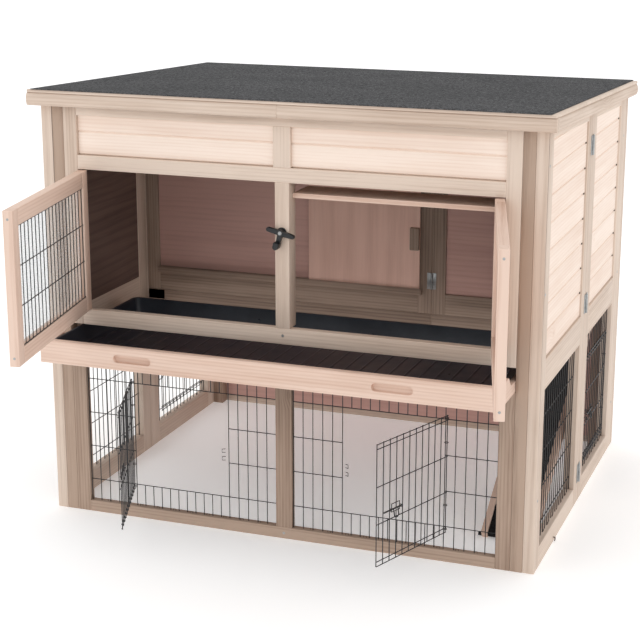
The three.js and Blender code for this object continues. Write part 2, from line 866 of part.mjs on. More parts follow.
// Horizontal board behind the header, over the right-hand doorway.
function stopBoard() {
  const top = doorTop - stopBoardTop;
  add(
    hutch,
    "stop_board",
    block(
      centrePost / 2 + gap,
      frameHalf - gap,
      frontThickness + gap,
      frontThickness + gap + stopBoardDepth,
      top - stopBoardThickness,
      top,
    ),
    naturalPine,
  );
}

// ---- Turn latch on the centre post --------------------------------------------------------------------

function turnLatch() {
  const latch = new THREE.Group();
  latch.position.set(0, 0, latchHeight);
  latch.rotation.y = latchTilt * radians;
  hutch.add(latch);
  const front = -gap - latchPlateThickness;
  const hub = rod([0, -gap, 0], [0, -1, 0], latchHub, latchPlate, 20);
  const across = (halfWidth, reach, low, high) =>
    block(-halfWidth, halfWidth, front - reach, front - latchSink, low, high);
  const wingHalf = latchWingHeight / 2;
  const wings = across(latchWing, latchWingFront, -wingHalf, wingHalf);
  const lever = across(latchLeverWidth / 2, latchLeverFront, -latchLever, 0);
  const [low, high] = [-latchLever - latchGripBelow, -latchLever + latchGripAbove];
  const grip = across(latchGripWidth / 2, latchGripFront, low, high);
  add(latch, "turn_latch", join(hub, wings, lever, grip), blackPlastic);
}

// ---- Drawer -------------------------------------------------------------------------------------------

const drawerBottom = runHeight + drawerRise;
const drawerHalf = frameHalf - drawerClearance;
const drawerBack = partitionFront - drawerFromPartition;

// A finger slot with round ends.
function fingerSlot(x, z) {
  const slot = new THREE.Shape();
  const r = fingerSlotHeight / 2;
  const straight = fingerSlotLength / 2 - r;
  slot.moveTo(x - straight, z - r);
  slot.lineTo(x + straight, z - r);
  slot.absarc(x + straight, z, r, -Math.PI / 2, Math.PI / 2, false);
  slot.lineTo(x - straight, z + r);
  slot.absarc(x - straight, z, r, Math.PI / 2, (Math.PI * 3) / 2, false);
  return slot;
}

function drawer() {
  const body = new THREE.Group();
  body.position.y = -drawerPull;
  hutch.add(body);
  const top = drawerBottom + drawerFrontHeight;
  const front = rectangle(-drawerHalf, drawerHalf, drawerBottom, top);
  const slotHeight = (drawerBottom + top) / 2;
  const slots = sides.map(([, s]) =>
    frontPlate(fingerSlot(s * fingerSlotFromCentre, slotHeight), -fingerSlotDepth, fingerSlotDepth * 2),
  );
  add(body, "drawer_front", cut(frontPlate(front, 0, drawerFrontThickness), ...slots), naturalPine);

  const start = drawerFrontThickness + gap;
  const end = drawerBack;
  for (const [side, s] of sides) {
    const outline = polygonPath(new THREE.Shape(), [
      [start, drawerBottom],
      [end, drawerBottom],
      [end, drawerBottom + drawerSideLow],
      [start + drawerStepLength + drawerStepSlope, drawerBottom + drawerSideLow],
      [start + drawerStepLength, drawerBottom + drawerSideHigh],
      [start, drawerBottom + drawerSideHigh],
    ]);
    const x0 = s > 0 ? drawerHalf - drawerSide : -drawerHalf;
    add(body, `drawer_side_${side}`, sidePlate(outline, x0, drawerSide), naturalPine);
  }
  const inner = drawerHalf - drawerSide - gap;
  const backBoard = block(-inner, inner, end - drawerSide, end, drawerBottom, drawerBottom + drawerSideLow);
  add(body, "drawer_back", backBoard, naturalPine);

  // The tray hangs inside the drawer frame, with ribs across its floor.
  const trayHalf = inner - trayGap;
  const trayFront = start + trayGap;
  const trayEnd = end - drawerSide - trayGap;
  const trayBase = drawerBottom + trayRise;
  const trayTop = trayBase + trayDepth;
  const outer = block(-trayHalf, trayHalf, trayFront, trayEnd, trayBase, trayTop);
  const inside = (y0, y1, z0, z1) => block(-trayHalf + trayWall, trayHalf - trayWall, y0, y1, z0, z1);
  const hollow = inside(trayFront + trayWall, trayEnd - trayWall, trayBase + trayWall, trayTop - trayWall);
  // A lip runs along the front and the back of its mouth.
  const mouth = inside(trayFront + trayLip, trayEnd - trayLip, trayTop - trayWall * 2, trayTop + trayWall);
  const ribs = lines(-trayHalf + trayRibPitch, trayHalf - trayRibPitch, trayRibPitch).map((x) =>
    block(
      x - trayRibWidth / 2,
      x + trayRibWidth / 2,
      trayFront + trayRibMargin,
      trayEnd - trayRibMargin,
      trayBase + trayWall / 2,
      trayBase + trayWall + trayRib,
    ),
  );
  add(body, "drawer_tray", join(cut(outer, hollow, mouth), ...ribs), blackPlastic);
}

// ---- Ramp from the back room down to the run ----------------------------------------------------------

function ramp() {
  const slope = rampAngle * radians;
  const headHeight = floorTop - rampRailHeight / 2;
  const footDrop = headHeight - (rampRailHeight / 2) * Math.cos(slope) - gap;
  const length = footDrop / Math.sin(slope);
  const ramp = new THREE.Group();
  ramp.position.set(0, rampHeadY, headHeight);
  ramp.rotation.x = slope;
  hutch.add(ramp);
  // Drawn lying flat: the head is at y = 0 and the foot at -length.
  const under = -rampBoard / 2;
  const board = block(rampLeft + rampRail + gap, rampRight - rampRail - gap, -length, 0, under, -under);
  add(ramp, "ramp_board", board, blackPlastic);
  for (const [side, x] of [
    ["left", rampLeft],
    ["right", rampRight - rampRail],
  ]) {
    const rail = block(x, x + rampRail, -length, 0, -rampRailHeight / 2, rampRailHeight / 2);
    add(ramp, `ramp_rail_${side}`, rail, naturalPine);
  }
}

// ---- Roof ---------------------------------------------------------------------------------------------

// A moulding section with a rounded outer edge, drawn outwards along u from 0 and upwards.
function roundedSection(outwards, thickness, height) {
  const section = new THREE.Shape();
  const r = height / 2;
  section.moveTo(0, 0);
  section.lineTo(outwards * (thickness - r / 2), 0);
  section.absellipse(
    outwards * (thickness - r / 2),
    r,
    r / 2,
    r,
    outwards > 0 ? -Math.PI / 2 : (Math.PI * 3) / 2,
    Math.PI / 2,
    outwards < 0,
  );
  section.lineTo(0, height);
  section.closePath();
  return section;
}

function roof() {
  const tilted = new THREE.Group();
  tilted.position.set(0, 0, frontHeight + gap);
  tilted.rotation.x = -Math.atan(roofFall);
  hutch.add(tilted);
  const front = -roofFrontOverhang;
  const back = depth + roofBackOverhang;
  const outer = half + roofOverhang;
  const insideHalf = outer - sideTrimThickness - gap;
  const frontInside = front + trimThickness + gap;
  const backInside = back - sideTrimThickness / 2;
  const under = trimHeight + gap;
  const side = outer - roofPlyInset;
  const ply = block(-side, side, front + roofPlyInset, back - roofPlyInset, under, under + roofPly);
  const strip = (x0, x1, y0, y1) => block(x0, x1, y0, y1, 0, under + roofPly / 2);
  const battens = [-insideHalf, -roofBatten / 2, insideHalf - roofBatten].map((x) =>
    strip(x, x + roofBatten, frontInside, backInside),
  );
  const backStrip = strip(-insideHalf, insideHalf, back - sideTrimThickness, back);
  add(tilted, "roof_board", join(ply, ...battens, backStrip), brownPlywood);
  const top = under + gap + roofPly;
  const feltHalf = outer + feltLap;
  const sheet = block(-feltHalf, feltHalf, front - feltLap, back + feltLap, top, top + felt);
  add(tilted, "roof_felt", sheet, roofFelt);

  const moulding = (section, depth) =>
    new THREE.ExtrudeGeometry(section, { depth, bevelEnabled: false, curveSegments: trimSteps }).rotateX(
      Math.PI / 2,
    );
  for (const [name, s] of sides) {
    const length = outer - gap;
    const frontTrim = moulding(roundedSection(-1, trimThickness, trimHeight), length)
      .rotateZ(Math.PI / 2)
      .translate(s > 0 ? gap / 2 : -gap / 2 - length, front + trimThickness, 0);
    add(tilted, `roof_trim_front_${name}`, frontTrim, stainedTimber);

    const sideTrim = moulding(roundedSection(s, sideTrimThickness, trimHeight), back - frontInside);
    sideTrim.translate(s * (outer - sideTrimThickness), back, 0);
    add(tilted, `roof_trim_${name}`, sideTrim, stainedTimber);
  }
}

// ---- Assembly -----------------------------------------------------------------------------------------

cornerPosts();
upperFrontFrame();
lowerFrontFrame();
frontMesh();
sideWalls();
backWall();
floorAndLedges();
partition();
stopBoard();
leftDoor();
rightDoor();
turnLatch();
drawer();
ramp();
roof();

export default hutch;
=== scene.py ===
"""Rabbit hutch: finished timber, wire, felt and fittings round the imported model."""

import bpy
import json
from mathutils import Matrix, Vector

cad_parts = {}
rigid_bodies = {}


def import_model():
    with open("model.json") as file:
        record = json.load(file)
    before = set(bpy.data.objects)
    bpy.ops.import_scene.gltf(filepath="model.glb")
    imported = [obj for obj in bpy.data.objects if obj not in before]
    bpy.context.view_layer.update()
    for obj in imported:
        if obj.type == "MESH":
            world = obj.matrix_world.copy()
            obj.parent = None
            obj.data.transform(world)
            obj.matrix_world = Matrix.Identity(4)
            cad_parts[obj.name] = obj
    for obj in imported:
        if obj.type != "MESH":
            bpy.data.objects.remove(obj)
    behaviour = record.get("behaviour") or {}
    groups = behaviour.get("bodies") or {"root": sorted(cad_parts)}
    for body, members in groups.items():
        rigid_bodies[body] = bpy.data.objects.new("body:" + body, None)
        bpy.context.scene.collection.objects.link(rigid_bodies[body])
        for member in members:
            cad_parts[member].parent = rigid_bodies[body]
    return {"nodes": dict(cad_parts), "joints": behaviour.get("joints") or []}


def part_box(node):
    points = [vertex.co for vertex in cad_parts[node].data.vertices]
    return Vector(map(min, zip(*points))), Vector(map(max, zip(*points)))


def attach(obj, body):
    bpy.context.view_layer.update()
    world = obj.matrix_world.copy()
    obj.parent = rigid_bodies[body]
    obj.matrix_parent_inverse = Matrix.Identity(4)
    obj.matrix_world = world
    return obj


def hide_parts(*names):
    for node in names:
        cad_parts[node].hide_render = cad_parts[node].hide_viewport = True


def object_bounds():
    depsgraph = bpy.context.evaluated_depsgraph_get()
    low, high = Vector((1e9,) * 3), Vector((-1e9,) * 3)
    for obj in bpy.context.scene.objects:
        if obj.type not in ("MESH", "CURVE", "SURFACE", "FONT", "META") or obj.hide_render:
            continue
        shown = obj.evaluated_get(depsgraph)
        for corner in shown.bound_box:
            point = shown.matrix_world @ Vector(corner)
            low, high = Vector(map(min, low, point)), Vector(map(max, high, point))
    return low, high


bl_info = {
    "name": "Rabbit Hutch",
    "version": (1, 0, 0),
    "blender": (4, 5, 0),
    "location": "View3D > Sidebar > Hutch",
    "description": "Builds the finished timber, wire, felt and fittings of a two-level rabbit hutch",
    "category": "Add Mesh",
}

import json
import math
import random

import bmesh
import bpy
from bpy.props import FloatProperty, FloatVectorProperty, PointerProperty
from mathutils import Matrix, Vector

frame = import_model()
cad_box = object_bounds()

GAP = 0.0003  # left between pieces that touch
ROD_LEVEL = 0.01  # a bolt's rod, over the lowest point of its CAD box
SKIRT_DROP = 0.036  # the board under the partition, below the partition's foot
SKIRT_THICKNESS = 0.012
GRIP_DEPTH = 0.010  # the sliding door's grip, in front of its leaf
FELT_MARGIN = 0.013  # felt short of the roof's side edges, over the trims
HEADER_PITCH = 0.05  # boards over the doors, which are narrower than the side boards
CAMERA_PLACE = (1.2258, -3.1123, 1.4064)
CAMERA_TILT, CAMERA_TURN = math.radians(74.776), math.radians(20.195)
FLOOR_GLOW = 0.24
SIDES = (("left", -1), ("right", 1))
X, Y, Z = (Vector(v) for v in ((1, 0, 0), (0, 1, 0), (0, 0, 1)))
SHARP = math.radians(30)


def srgb(red, green, blue):
    """A colour given as 0 to 255 on a screen, as the renderer counts light."""
    parts = (c / 255 for c in (red, green, blue))
    return tuple(c / 12.92 if c <= 0.04045 else ((c + 0.055) / 1.055) ** 2.4 for c in parts)


# ---- Settings ------------------------------------------------------------------------------------------


def colour(name, description, *screen):
    return FloatVectorProperty(
        name=name, description=description, subtype="COLOR", size=3, min=0, max=1, default=srgb(*screen)
    )


def length(name, description, default, most=0.1):
    return FloatProperty(
        name=name, description=description, default=default, min=0, max=most, unit="LENGTH", precision=5
    )


class HutchColours(bpy.types.PropertyGroup):
    """Colours of the hutch's finishes."""

    stain_pale: colour("Stain", "Grey-taupe stain on the frames, between the growth lines", 222, 204, 189)
    stain_dark: colour("Stain lines", "The same stain along the growth lines", 192, 170, 153)
    # The post stain is partly a darker stain and partly painted shade: it darkens the posts and the run's
    # front frame, which stand lower and in the drawer's shade.
    post_pale: colour("Post stain", "The stain where it lies thicker, on posts and run", 180, 157, 140)
    post_dark: colour("Post stain lines", "The thicker stain along the growth lines", 138, 114, 98)
    cream_pale: colour("Boards", "Untreated tongue-and-groove boards", 246, 229, 216)
    cream_dark: colour("Board lines", "Growth lines of the untreated boards", 228, 202, 184)
    pine_pale: colour("Pine", "Planed pine of the doors and the drawer", 228, 202, 186)
    pine_dark: colour("Pine lines", "Growth lines of the planed pine", 200, 165, 145)
    # Painted shade: the inside stain is the frame stain darkened for the shade inside the house, on the
    # partition, its track and skirt, and the sliding door's grip.
    inside_pale: colour("Inside stain", "Darker stain on the partition inside the house", 166, 145, 130)
    inside_dark: colour("Inside stain lines", "The same stain along the growth lines", 122, 103, 90)
    # Painted shade: the lining is a dark sheet set inside the side walls, whose colour stands in for the shade
    # inside the house.
    lining: colour("Lining", "Dark veneer that lines the side walls", 122, 101, 93)
    ply_pale: colour("Plywood", "Red-brown veneer of the panels", 214, 174, 164)
    ply_dark: colour("Plywood figure", "Darker figure of the veneer", 186, 145, 135)
    door_ply_pale: colour("Sliding door", "Warmer veneer of the sliding door", 246, 206, 190)
    door_ply_dark: colour("Sliding door figure", "Darker figure of that veneer", 218, 174, 157)
    knot: colour("Knots", "Knots in the softwood", 112, 80, 60)
    felt_pale: colour("Felt granules", "Lightest mineral granules of the roof felt", 138, 138, 140)
    felt_dark: colour("Felt", "Bitumen between the granules", 44, 44, 45)
    wire: colour("Wire coating", "Powder coating of the wire", 22, 22, 24)
    plastic: colour("Tray", "Moulded plastic of the tray", 38, 43, 52)
    latch: colour("Latch", "Moulded plastic of the turn latch", 16, 17, 20)
    zinc: colour("Zinc", "Plated steel of the hinges and screws", 178, 180, 180)
    nail: colour("Nails", "Dulled steel of the nail heads", 92, 80, 72)
    pane: colour("Pane", "Clear sheet in the left door", 240, 247, 250)


class HutchSizes(bpy.types.PropertyGroup):
    """Sizes of the details that the frame leaves to the finish."""

    edge_round: length("Edge rounding", "How far the edges of sawn timber are eased", 0.0013)
    groove: length("Groove", "Depth of the V between two boards", 0.003)
    board_pitch: length("Board pitch", "Height of one tongue-and-groove board", 0.056, 0.5)
    wire_diameter: length("Wire", "Diameter of the coated wire", 0.0021)
    wire_pitch: length("Wire pitch", "Usual distance between upright wires", 0.021)
    screw_diameter: length("Screw head", "Diameter of a countersunk screw head", 0.0072)
    nail_diameter: length("Nail head", "Diameter of a nail head", 0.0044)
    staple_width: length("Staple", "Width of a staple over a wire", 0.006)


class HutchStage(bpy.types.PropertyGroup):
    """Floor, lights and camera."""

    floor_size: FloatProperty(
        name="Floor size", description="Side of the square floor", default=90, min=1, unit="LENGTH"
    )
    floor_colour: colour("Floor", "Pale floor", 250, 250, 250)
    daylight: FloatProperty(name="Daylight", description="Even light from all round", default=1.0, min=0)
    key_power: FloatProperty(
        name="Key light", description="Power of the main soft light", default=9, min=0, unit="POWER"
    )
    fill_power: FloatProperty(
        name="Fill light", description="Power of the other soft light", default=2.5, min=0, unit="POWER"
    )
    lens: FloatProperty(
        name="Lens", description="Focal length of the camera", default=91.6, min=10, unit="CAMERA"
    )


# ---- Reading the frame ---------------------------------------------------------------------------------


def joint(name):
    return next(j for j in frame["joints"] if j["name"] == name)


def swung(name):
    """Where a hinged leaf's own axes lie at rest: its closed position turned open about its hinge."""
    found = joint(name)
    turn = Matrix.Rotation(math.radians(-found["range_deg"][0]), 4, Vector(found["axis"]))
    return Matrix.Translation(found["pos_m"]) @ turn


def box_in(node, place=Matrix.Identity(4)):
    """Lowest and highest corner of a CAD node, measured along the axes of a place."""
    back = place.inverted()
    corners = [back @ v.co for v in frame["nodes"][node].data.vertices]
    low, high = (Vector(pick(p[i] for p in corners) for i in range(3)) for pick in (min, max))
    return low, high


def slope_of(node):
    """How far a node's widest face leans back from level, in radians."""
    normal = max(frame["nodes"][node].data.polygons, key=lambda f: f.area).normal
    up = normal if normal.z > 0 else -normal
    return math.atan2(up.y, up.z)


# ---- Shapes --------------------------------------------------------------------------------------------


def eased(shape, ease, segments=2, sharp=SHARP):
    """Rounds the sharp edges of a shape a little, and marks the new faces for a painted highlight."""
    shape.faces.layers.float.get("worn") or shape.faces.layers.float.new("worn")
    edges = [e for e in shape.edges if len(e.link_faces) == 2 and e.calc_face_angle(0) > sharp]
    if ease and edges:
        made = bmesh.ops.bevel(
            shape,
            geom=edges,
            offset=ease,
            segments=segments,
            profile=0.5,
            affect="EDGES",
            clamp_overlap=True,
        )
        worn = shape.faces.layers.float.get("worn")
        for face in made["faces"]:
            face[worn] = 1
    return shape


def sliced(shape, point, normal):
    """Takes off what lies beyond a plane and closes the cut."""
    everything = shape.verts[:] + shape.edges[:] + shape.faces[:]
    bmesh.ops.bisect_plane(shape, geom=everything, plane_co=point, plane_no=normal, clear_outer=True)
    bmesh.ops.holes_fill(shape, edges=[e for e in shape.edges if e.is_boundary])
    bmesh.ops.recalc_face_normals(shape, faces=shape.faces[:])
    return shape


def block(low, high, ease=0.0, cut=None):
    low, high = Vector(low), Vector(high)
    shape = bmesh.new()
    place = Matrix.Translation((low + high) / 2) @ Matrix.Diagonal((*(high - low), 1))
    bmesh.ops.create_cube(shape, size=1, matrix=place)
    if cut:
        sliced(shape, *cut)
    return eased(shape, ease)


def prism(outline, run, ease=0.0, cut=None, segments=2):
    """An outline carried along a run."""
    shape = bmesh.new()
    near = [shape.verts.new(p) for p in outline]
    far = [shape.verts.new(Vector(p) + run) for p in outline]
    shape.faces.new(near)
    shape.faces.new(reversed(far))
    for i in range(len(near)):
        shape.faces.new((near[i], near[i - 1], far[i - 1], far[i]))
    bmesh.ops.recalc_face_normals(shape, faces=shape.faces[:])
    if cut:
        sliced(shape, *cut)
    return eased(shape, ease, segments)


def rod(start, run, radius, sides=8, tip=None):
    """A straight round bar from a start along a run, tapered to a tip radius if one is given."""
    start, run = Vector(start), Vector(run)
    shape = bmesh.new()
    bmesh.ops.create_cone(
        shape,
        cap_ends=True,
        segments=sides,
        radius1=radius,
        radius2=radius if tip is None else tip,
        depth=run.length,
        matrix=Matrix.Translation(start + run / 2) @ run.to_track_quat("Z", "Y").to_matrix().to_4x4(),
    )
    return shape


def ring(centre, axis, across, thickness, steps=14, sides=6):
    """A closed ring of round wire."""
    centre, axis = Vector(centre), Vector(axis).normalized()
    u = axis.orthogonal().normalized()
    v = axis.cross(u)
    angles = [2 * math.pi * i / steps for i in range(steps)]
    points = [centre + (u * math.cos(a) + v * math.sin(a)) * across / 2 for a in angles]
    return bent(points, thickness / 2, sides, closed=True)


def bent(points, radius, sides=8, closed=False):
    """Round wire along a line of points, mitred at each."""
    points = [Vector(p) for p in points]
    count = len(points)
    shape = bmesh.new()
    loops = []
    normal = None
    for i, p in enumerate(points):
        before = points[i - 1] if i or closed else p
        after = points[(i + 1) % count] if i < count - 1 or closed else p
        ahead = ((after - p).normalized() + (p - before).normalized()).normalized()
        if normal is None:
            normal = ahead.orthogonal().normalized()
        normal = (normal - ahead * normal.dot(ahead)).normalized()
        other = ahead.cross(normal)
        turns = [2 * math.pi * k / sides for k in range(sides)]
        around = [(normal * math.cos(t) + other * math.sin(t)) * radius for t in turns]
        loops.append([shape.verts.new(p + off) for off in around])
    for i in range(count if closed else count - 1):
        a, b = loops[i], loops[(i + 1) % count]
        if closed and i == count - 1:
            b = b[:]
            nearest = min(range(sides), key=lambda k: (b[k].co - a[0].co).length)
            b = b[nearest:] + b[:nearest]
        for k in range(sides):
            shape.faces.new((a[k - 1], a[k], b[k], b[k - 1]))
    if not closed:
        shape.faces.new(reversed(loops[0]))
        shape.faces.new(loops[-1])
    bmesh.ops.recalc_face_normals(shape, faces=shape.faces[:])
    return shape


def arc(centre, u, v, radius, start, end, steps=8):
    """Points along an arc in the plane of u and v, angles in degrees."""
    angles = [math.radians(start + (end - start) * i / steps) for i in range(steps + 1)]
    return [Vector(centre) + u * radius * math.cos(a) + v * radius * math.sin(a) for a in angles]


def cad_shape(node, ease, place=Matrix.Identity(4), segments=2):
    """A CAD node as a merged, eased solid, measured along the axes of a place."""
    shape = bmesh.new()
    shape.from_mesh(frame["nodes"][node].data)
    bmesh.ops.remove_doubles(shape, verts=shape.verts[:], dist=1e-5)
    shape.transform(place.inverted())
    bmesh.ops.dissolve_limit(
        shape, angle_limit=math.radians(0.5), verts=shape.verts[:], edges=shape.edges[:]
    )
    return eased(shape, ease, segments)


# ---- Pieces --------------------------------------------------------------------------------------------


class Stock:
    """A piece in the making: its faces, and how the grain runs through each part of it."""

    def __init__(self, seed=0):
        self.draw = random.Random(seed)
        self.points, self.faces = [], []
        self.grain, self.tone, self.worn, self.smooth = [], [], [], []

    def add(self, shape, along=X, place=Matrix.Identity(4), smooth=False):
        """Takes in a bmesh, whose grain runs along one of its own axes, and puts it in place."""
        shape.verts.index_update()
        worn = shape.faces.layers.float.get("worn")
        start = len(self.points)
        shift = Vector([self.draw.uniform(-9, 9) for _ in range(3)])
        lean = self.draw.uniform(0.15, 0.5) * self.draw.choice((-1, 1))
        low = [min(v.co[i] for v in shape.verts) for i in range(3)]
        high = [max(v.co[i] for v in shape.verts) for i in range(3)]
        extent = Vector(high) - Vector(low)
        others = sorted((a for a in (X, Y, Z) if a.dot(along) < 0.5), key=extent.dot)
        depth, across = others[0] if len(others) > 1 else Y, others[-1]
        tone = self.draw.uniform(-1, 1)
        for vert in shape.verts:
            p = vert.co
            a, b = p.dot(across), p.dot(depth)
            turned_a = a * math.cos(lean) + b * math.sin(lean)
            turned_b = b * math.cos(lean) - a * math.sin(lean)
            self.points.append(place @ p)
            self.grain.append(Vector((p.dot(along), turned_a, turned_b)) + shift)
            self.tone.append(tone)
        for face in shape.faces:
            self.faces.append([start + v.index for v in face.verts])
            self.worn.append(face[worn] if worn else 0.0)
            self.smooth.append(smooth)
        shape.free()
        return self

    def plank(self, low, high, along=X, place=Matrix.Identity(4), cut=None, ease=None):
        """A straight board between two corners, its edges eased."""
        ease = bpy.context.scene.hutch_sizes.edge_round if ease is None else ease
        return self.add(block(low, high, ease, cut), along, place)

    def row(self, template, count, step, seed=1, spread=1.0):
        """A template stock repeated along a row by Geometry Nodes."""
        if count < 1:
            return self
        holder = bpy.data.objects.new("row", template.mesh("row"))
        bpy.context.scene.collection.objects.link(holder)
        modifier = holder.modifiers.new("Row", "NODES")
        modifier.node_group = row_tree()
        for name, value in {"Count": count, "Step": Vector(step), "Seed": seed, "Spread": spread}.items():
            modifier[socket_of(modifier.node_group, name)] = value
        bpy.context.view_layer.update()
        evaluated = holder.evaluated_get(bpy.context.evaluated_depsgraph_get())
        made = bpy.data.meshes.new_from_object(evaluated)
        holder.modifiers.remove(modifier)
        self.absorb(made, template.smooth[0])
        bpy.data.meshes.remove(made)
        bpy.data.objects.remove(holder)
        return self

    def absorb(self, mesh, smooth):
        start = len(self.points)
        self.points += [v.co.copy() for v in mesh.vertices]
        self.faces += [[start + i for i in p.vertices] for p in mesh.polygons]
        self.grain += [d.vector.copy() for d in mesh.attributes["grain"].data]
        self.tone += [d.value for d in mesh.attributes["tone"].data]
        self.worn += [d.value for d in mesh.attributes["worn"].data]
        self.smooth += [smooth] * len(mesh.polygons)

    def mesh(self, name):
        mesh = bpy.data.meshes.new(name)
        mesh.from_pydata(self.points, [], self.faces)
        grain = mesh.attributes.new("grain", "FLOAT_VECTOR", "POINT")
        grain.data.foreach_set("vector", [c for g in self.grain for c in g])
        mesh.attributes.new("tone", "FLOAT", "POINT").data.foreach_set("value", self.tone)
        mesh.attributes.new("worn", "FLOAT", "FACE").data.foreach_set("value", self.worn)
        mesh.polygons.foreach_set("use_smooth", self.smooth)
        mesh.set_sharp_from_angle(angle=SHARP)
        return mesh

    def piece(self, name, body, material, slot=None, replaces=()):
        """The finished piece, riding on its body."""
        made = bpy.data.objects.new(name, self.mesh(name))
        made.data.materials.append(finish(material))
        bpy.context.scene.collection.objects.link(made)
        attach(made, body)
        if replaces:
            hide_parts(*replaces)
        return made


# ---- Geometry Nodes ------------------------------------------------------------------------------------


def socket_of(tree, name):
    """The identifier of a node group's named input."""
    return next(i.identifier for i in tree.interface.items_tree if i.name == name and i.in_out == "INPUT")


def row_tree():
    """Repeats a shape along a row, and gives each copy its own stretch of grain and its own tone."""
    name = "Row of like parts"
    if name in bpy.data.node_groups:
        return bpy.data.node_groups[name]
    tree = bpy.data.node_groups.new(name, "GeometryNodeTree")
    face = tree.interface
    face.new_socket("Geometry", in_out="INPUT", socket_type="NodeSocketGeometry")
    face.new_socket("Count", in_out="INPUT", socket_type="NodeSocketInt").min_value = 1
    face.new_socket("Step", in_out="INPUT", socket_type="NodeSocketVector")
    face.new_socket("Seed", in_out="INPUT", socket_type="NodeSocketInt")
    face.new_socket("Spread", in_out="INPUT", socket_type="NodeSocketFloat")
    face.new_socket("Material", in_out="INPUT", socket_type="NodeSocketMaterial")
    face.new_socket("Geometry", in_out="OUTPUT", socket_type="NodeSocketGeometry")
    link = tree.links.new

    def node(kind, **settings):
        made = tree.nodes.new(kind)
        for key, value in settings.items():
            setattr(made, key, value)
        return made

    given = node("NodeGroupInput")
    line = node("GeometryNodeMeshLine", mode="OFFSET")
    link(given.outputs["Count"], line.inputs["Count"])
    link(given.outputs["Step"], line.inputs["Offset"])
    copies = node("GeometryNodeInstanceOnPoints")
    link(line.outputs["Mesh"], copies.inputs["Points"])
    link(given.outputs["Geometry"], copies.inputs["Instance"])
    number = node("GeometryNodeStoreNamedAttribute", data_type="INT", domain="INSTANCE")
    number.inputs["Name"].default_value = "place_in_row"
    link(copies.outputs["Instances"], number.inputs["Geometry"])
    link(node("GeometryNodeInputIndex").outputs["Index"], number.inputs["Value"])
    real = node("GeometryNodeRealizeInstances")
    link(number.outputs["Geometry"], real.inputs["Geometry"])

    place = node("GeometryNodeInputNamedAttribute", data_type="INT")
    place.inputs["Name"].default_value = "place_in_row"
    geometry = real.outputs["Geometry"]
    for attribute, kind, reach in (("grain", "FLOAT_VECTOR", 9.0), ("tone", "FLOAT", 1.0)):
        chance = node("FunctionNodeRandomValue", data_type=kind)
        sockets = [s for s in chance.inputs if s.enabled]
        for socket, side in ((sockets[0], -1), (sockets[1], 1)):
            socket.default_value = (side * reach,) * 3 if kind == "FLOAT_VECTOR" else side * reach
        link(place.outputs["Attribute"], chance.inputs["ID"])
        link(given.outputs["Seed"], chance.inputs["Seed"])
        drawn = next(s for s in chance.outputs if s.enabled)
        scaled = node("ShaderNodeVectorMath", operation="SCALE")
        link(drawn, scaled.inputs["Vector"])
        link(given.outputs["Spread"], scaled.inputs["Scale"])
        old = node("GeometryNodeInputNamedAttribute", data_type=kind)
        old.inputs["Name"].default_value = attribute
        total = node("ShaderNodeVectorMath", operation="ADD")
        link(scaled.outputs["Vector"], total.inputs[0])
        link(old.outputs["Attribute"], total.inputs[1])
        store = node("GeometryNodeStoreNamedAttribute", data_type=kind, domain="POINT")
        store.inputs["Name"].default_value = attribute
        link(geometry, store.inputs["Geometry"])
        link(total.outputs["Vector"], store.inputs["Value"])
        geometry = store.outputs["Geometry"]
    coat = node("GeometryNodeSetMaterial")
    link(geometry, coat.inputs["Geometry"])
    link(given.outputs["Material"], coat.inputs["Material"])
    link(coat.outputs["Geometry"], node("NodeGroupOutput").inputs["Geometry"])
    return tree


# ---- Materials -----------------------------------------------------------------------------------------


class Shade:
    """A material's nodes, written one after another."""

    def __init__(self, name):
        self.material = bpy.data.materials.new(name)
        self.material.use_nodes = True
        self.tree = self.material.node_tree
        self.surface = self.tree.nodes["Principled BSDF"]

    def node(self, kind, inputs=None, **settings):
        made = self.tree.nodes.new(kind)
        for key, value in settings.items():
            setattr(made, key, value)
        for key, value in (inputs or {}).items():
            self.put(made.inputs[key], value)
        return made

    def put(self, socket, value):
        if isinstance(value, bpy.types.NodeSocket):
            self.tree.links.new(value, socket)
        elif isinstance(value, tuple) and socket.type == "RGBA" and len(value) == 3:
            socket.default_value = (*value, 1)
        else:
            socket.default_value = value

    def attribute(self, name):
        return self.node("ShaderNodeAttribute", attribute_name=name)

    def math(self, operation, a, b=0.0, clamp=False):
        return self.node("ShaderNodeMath", {0: a, 1: b}, operation=operation, use_clamp=clamp).outputs[0]

    def stretched(self, vector, *scale):
        return self.node("ShaderNodeVectorMath", {0: vector, 1: scale}, operation="MULTIPLY").outputs[0]

    def noise(self, vector, scale=1.0, detail=2.0, roughness=0.5, distortion=0.0):
        given = {"Vector": vector, "Scale": scale, "Detail": detail}
        given.update({"Roughness": roughness, "Distortion": distortion})
        return self.node("ShaderNodeTexNoise", given).outputs["Fac"]

    def remap(self, value, low, high, to_low=0.0, to_high=1.0, smooth=False):
        given = {"Value": value, "From Min": low, "From Max": high, "To Min": to_low, "To Max": to_high}
        kind = "SMOOTHSTEP" if smooth else "LINEAR"
        return self.node("ShaderNodeMapRange", given, interpolation_type=kind).outputs["Result"]

    def mix(self, share, a, b, blend="MIX"):
        made = self.node("ShaderNodeMix", data_type="RGBA", blend_type=blend)
        for index, value in ((0, share), (6, a), (7, b)):
            self.put(made.inputs[index], value)
        return made.outputs[2]

    def bump(self, height, strength, distance):
        given = {"Height": height, "Strength": strength, "Distance": distance}
        return self.node("ShaderNodeBump", given).outputs["Normal"]

    def coat(self, **given):
        """Sets the shader's own sockets."""
        for key, value in given.items():
            self.put(self.surface.inputs[key.replace("_", " ")], value)
        return self.material


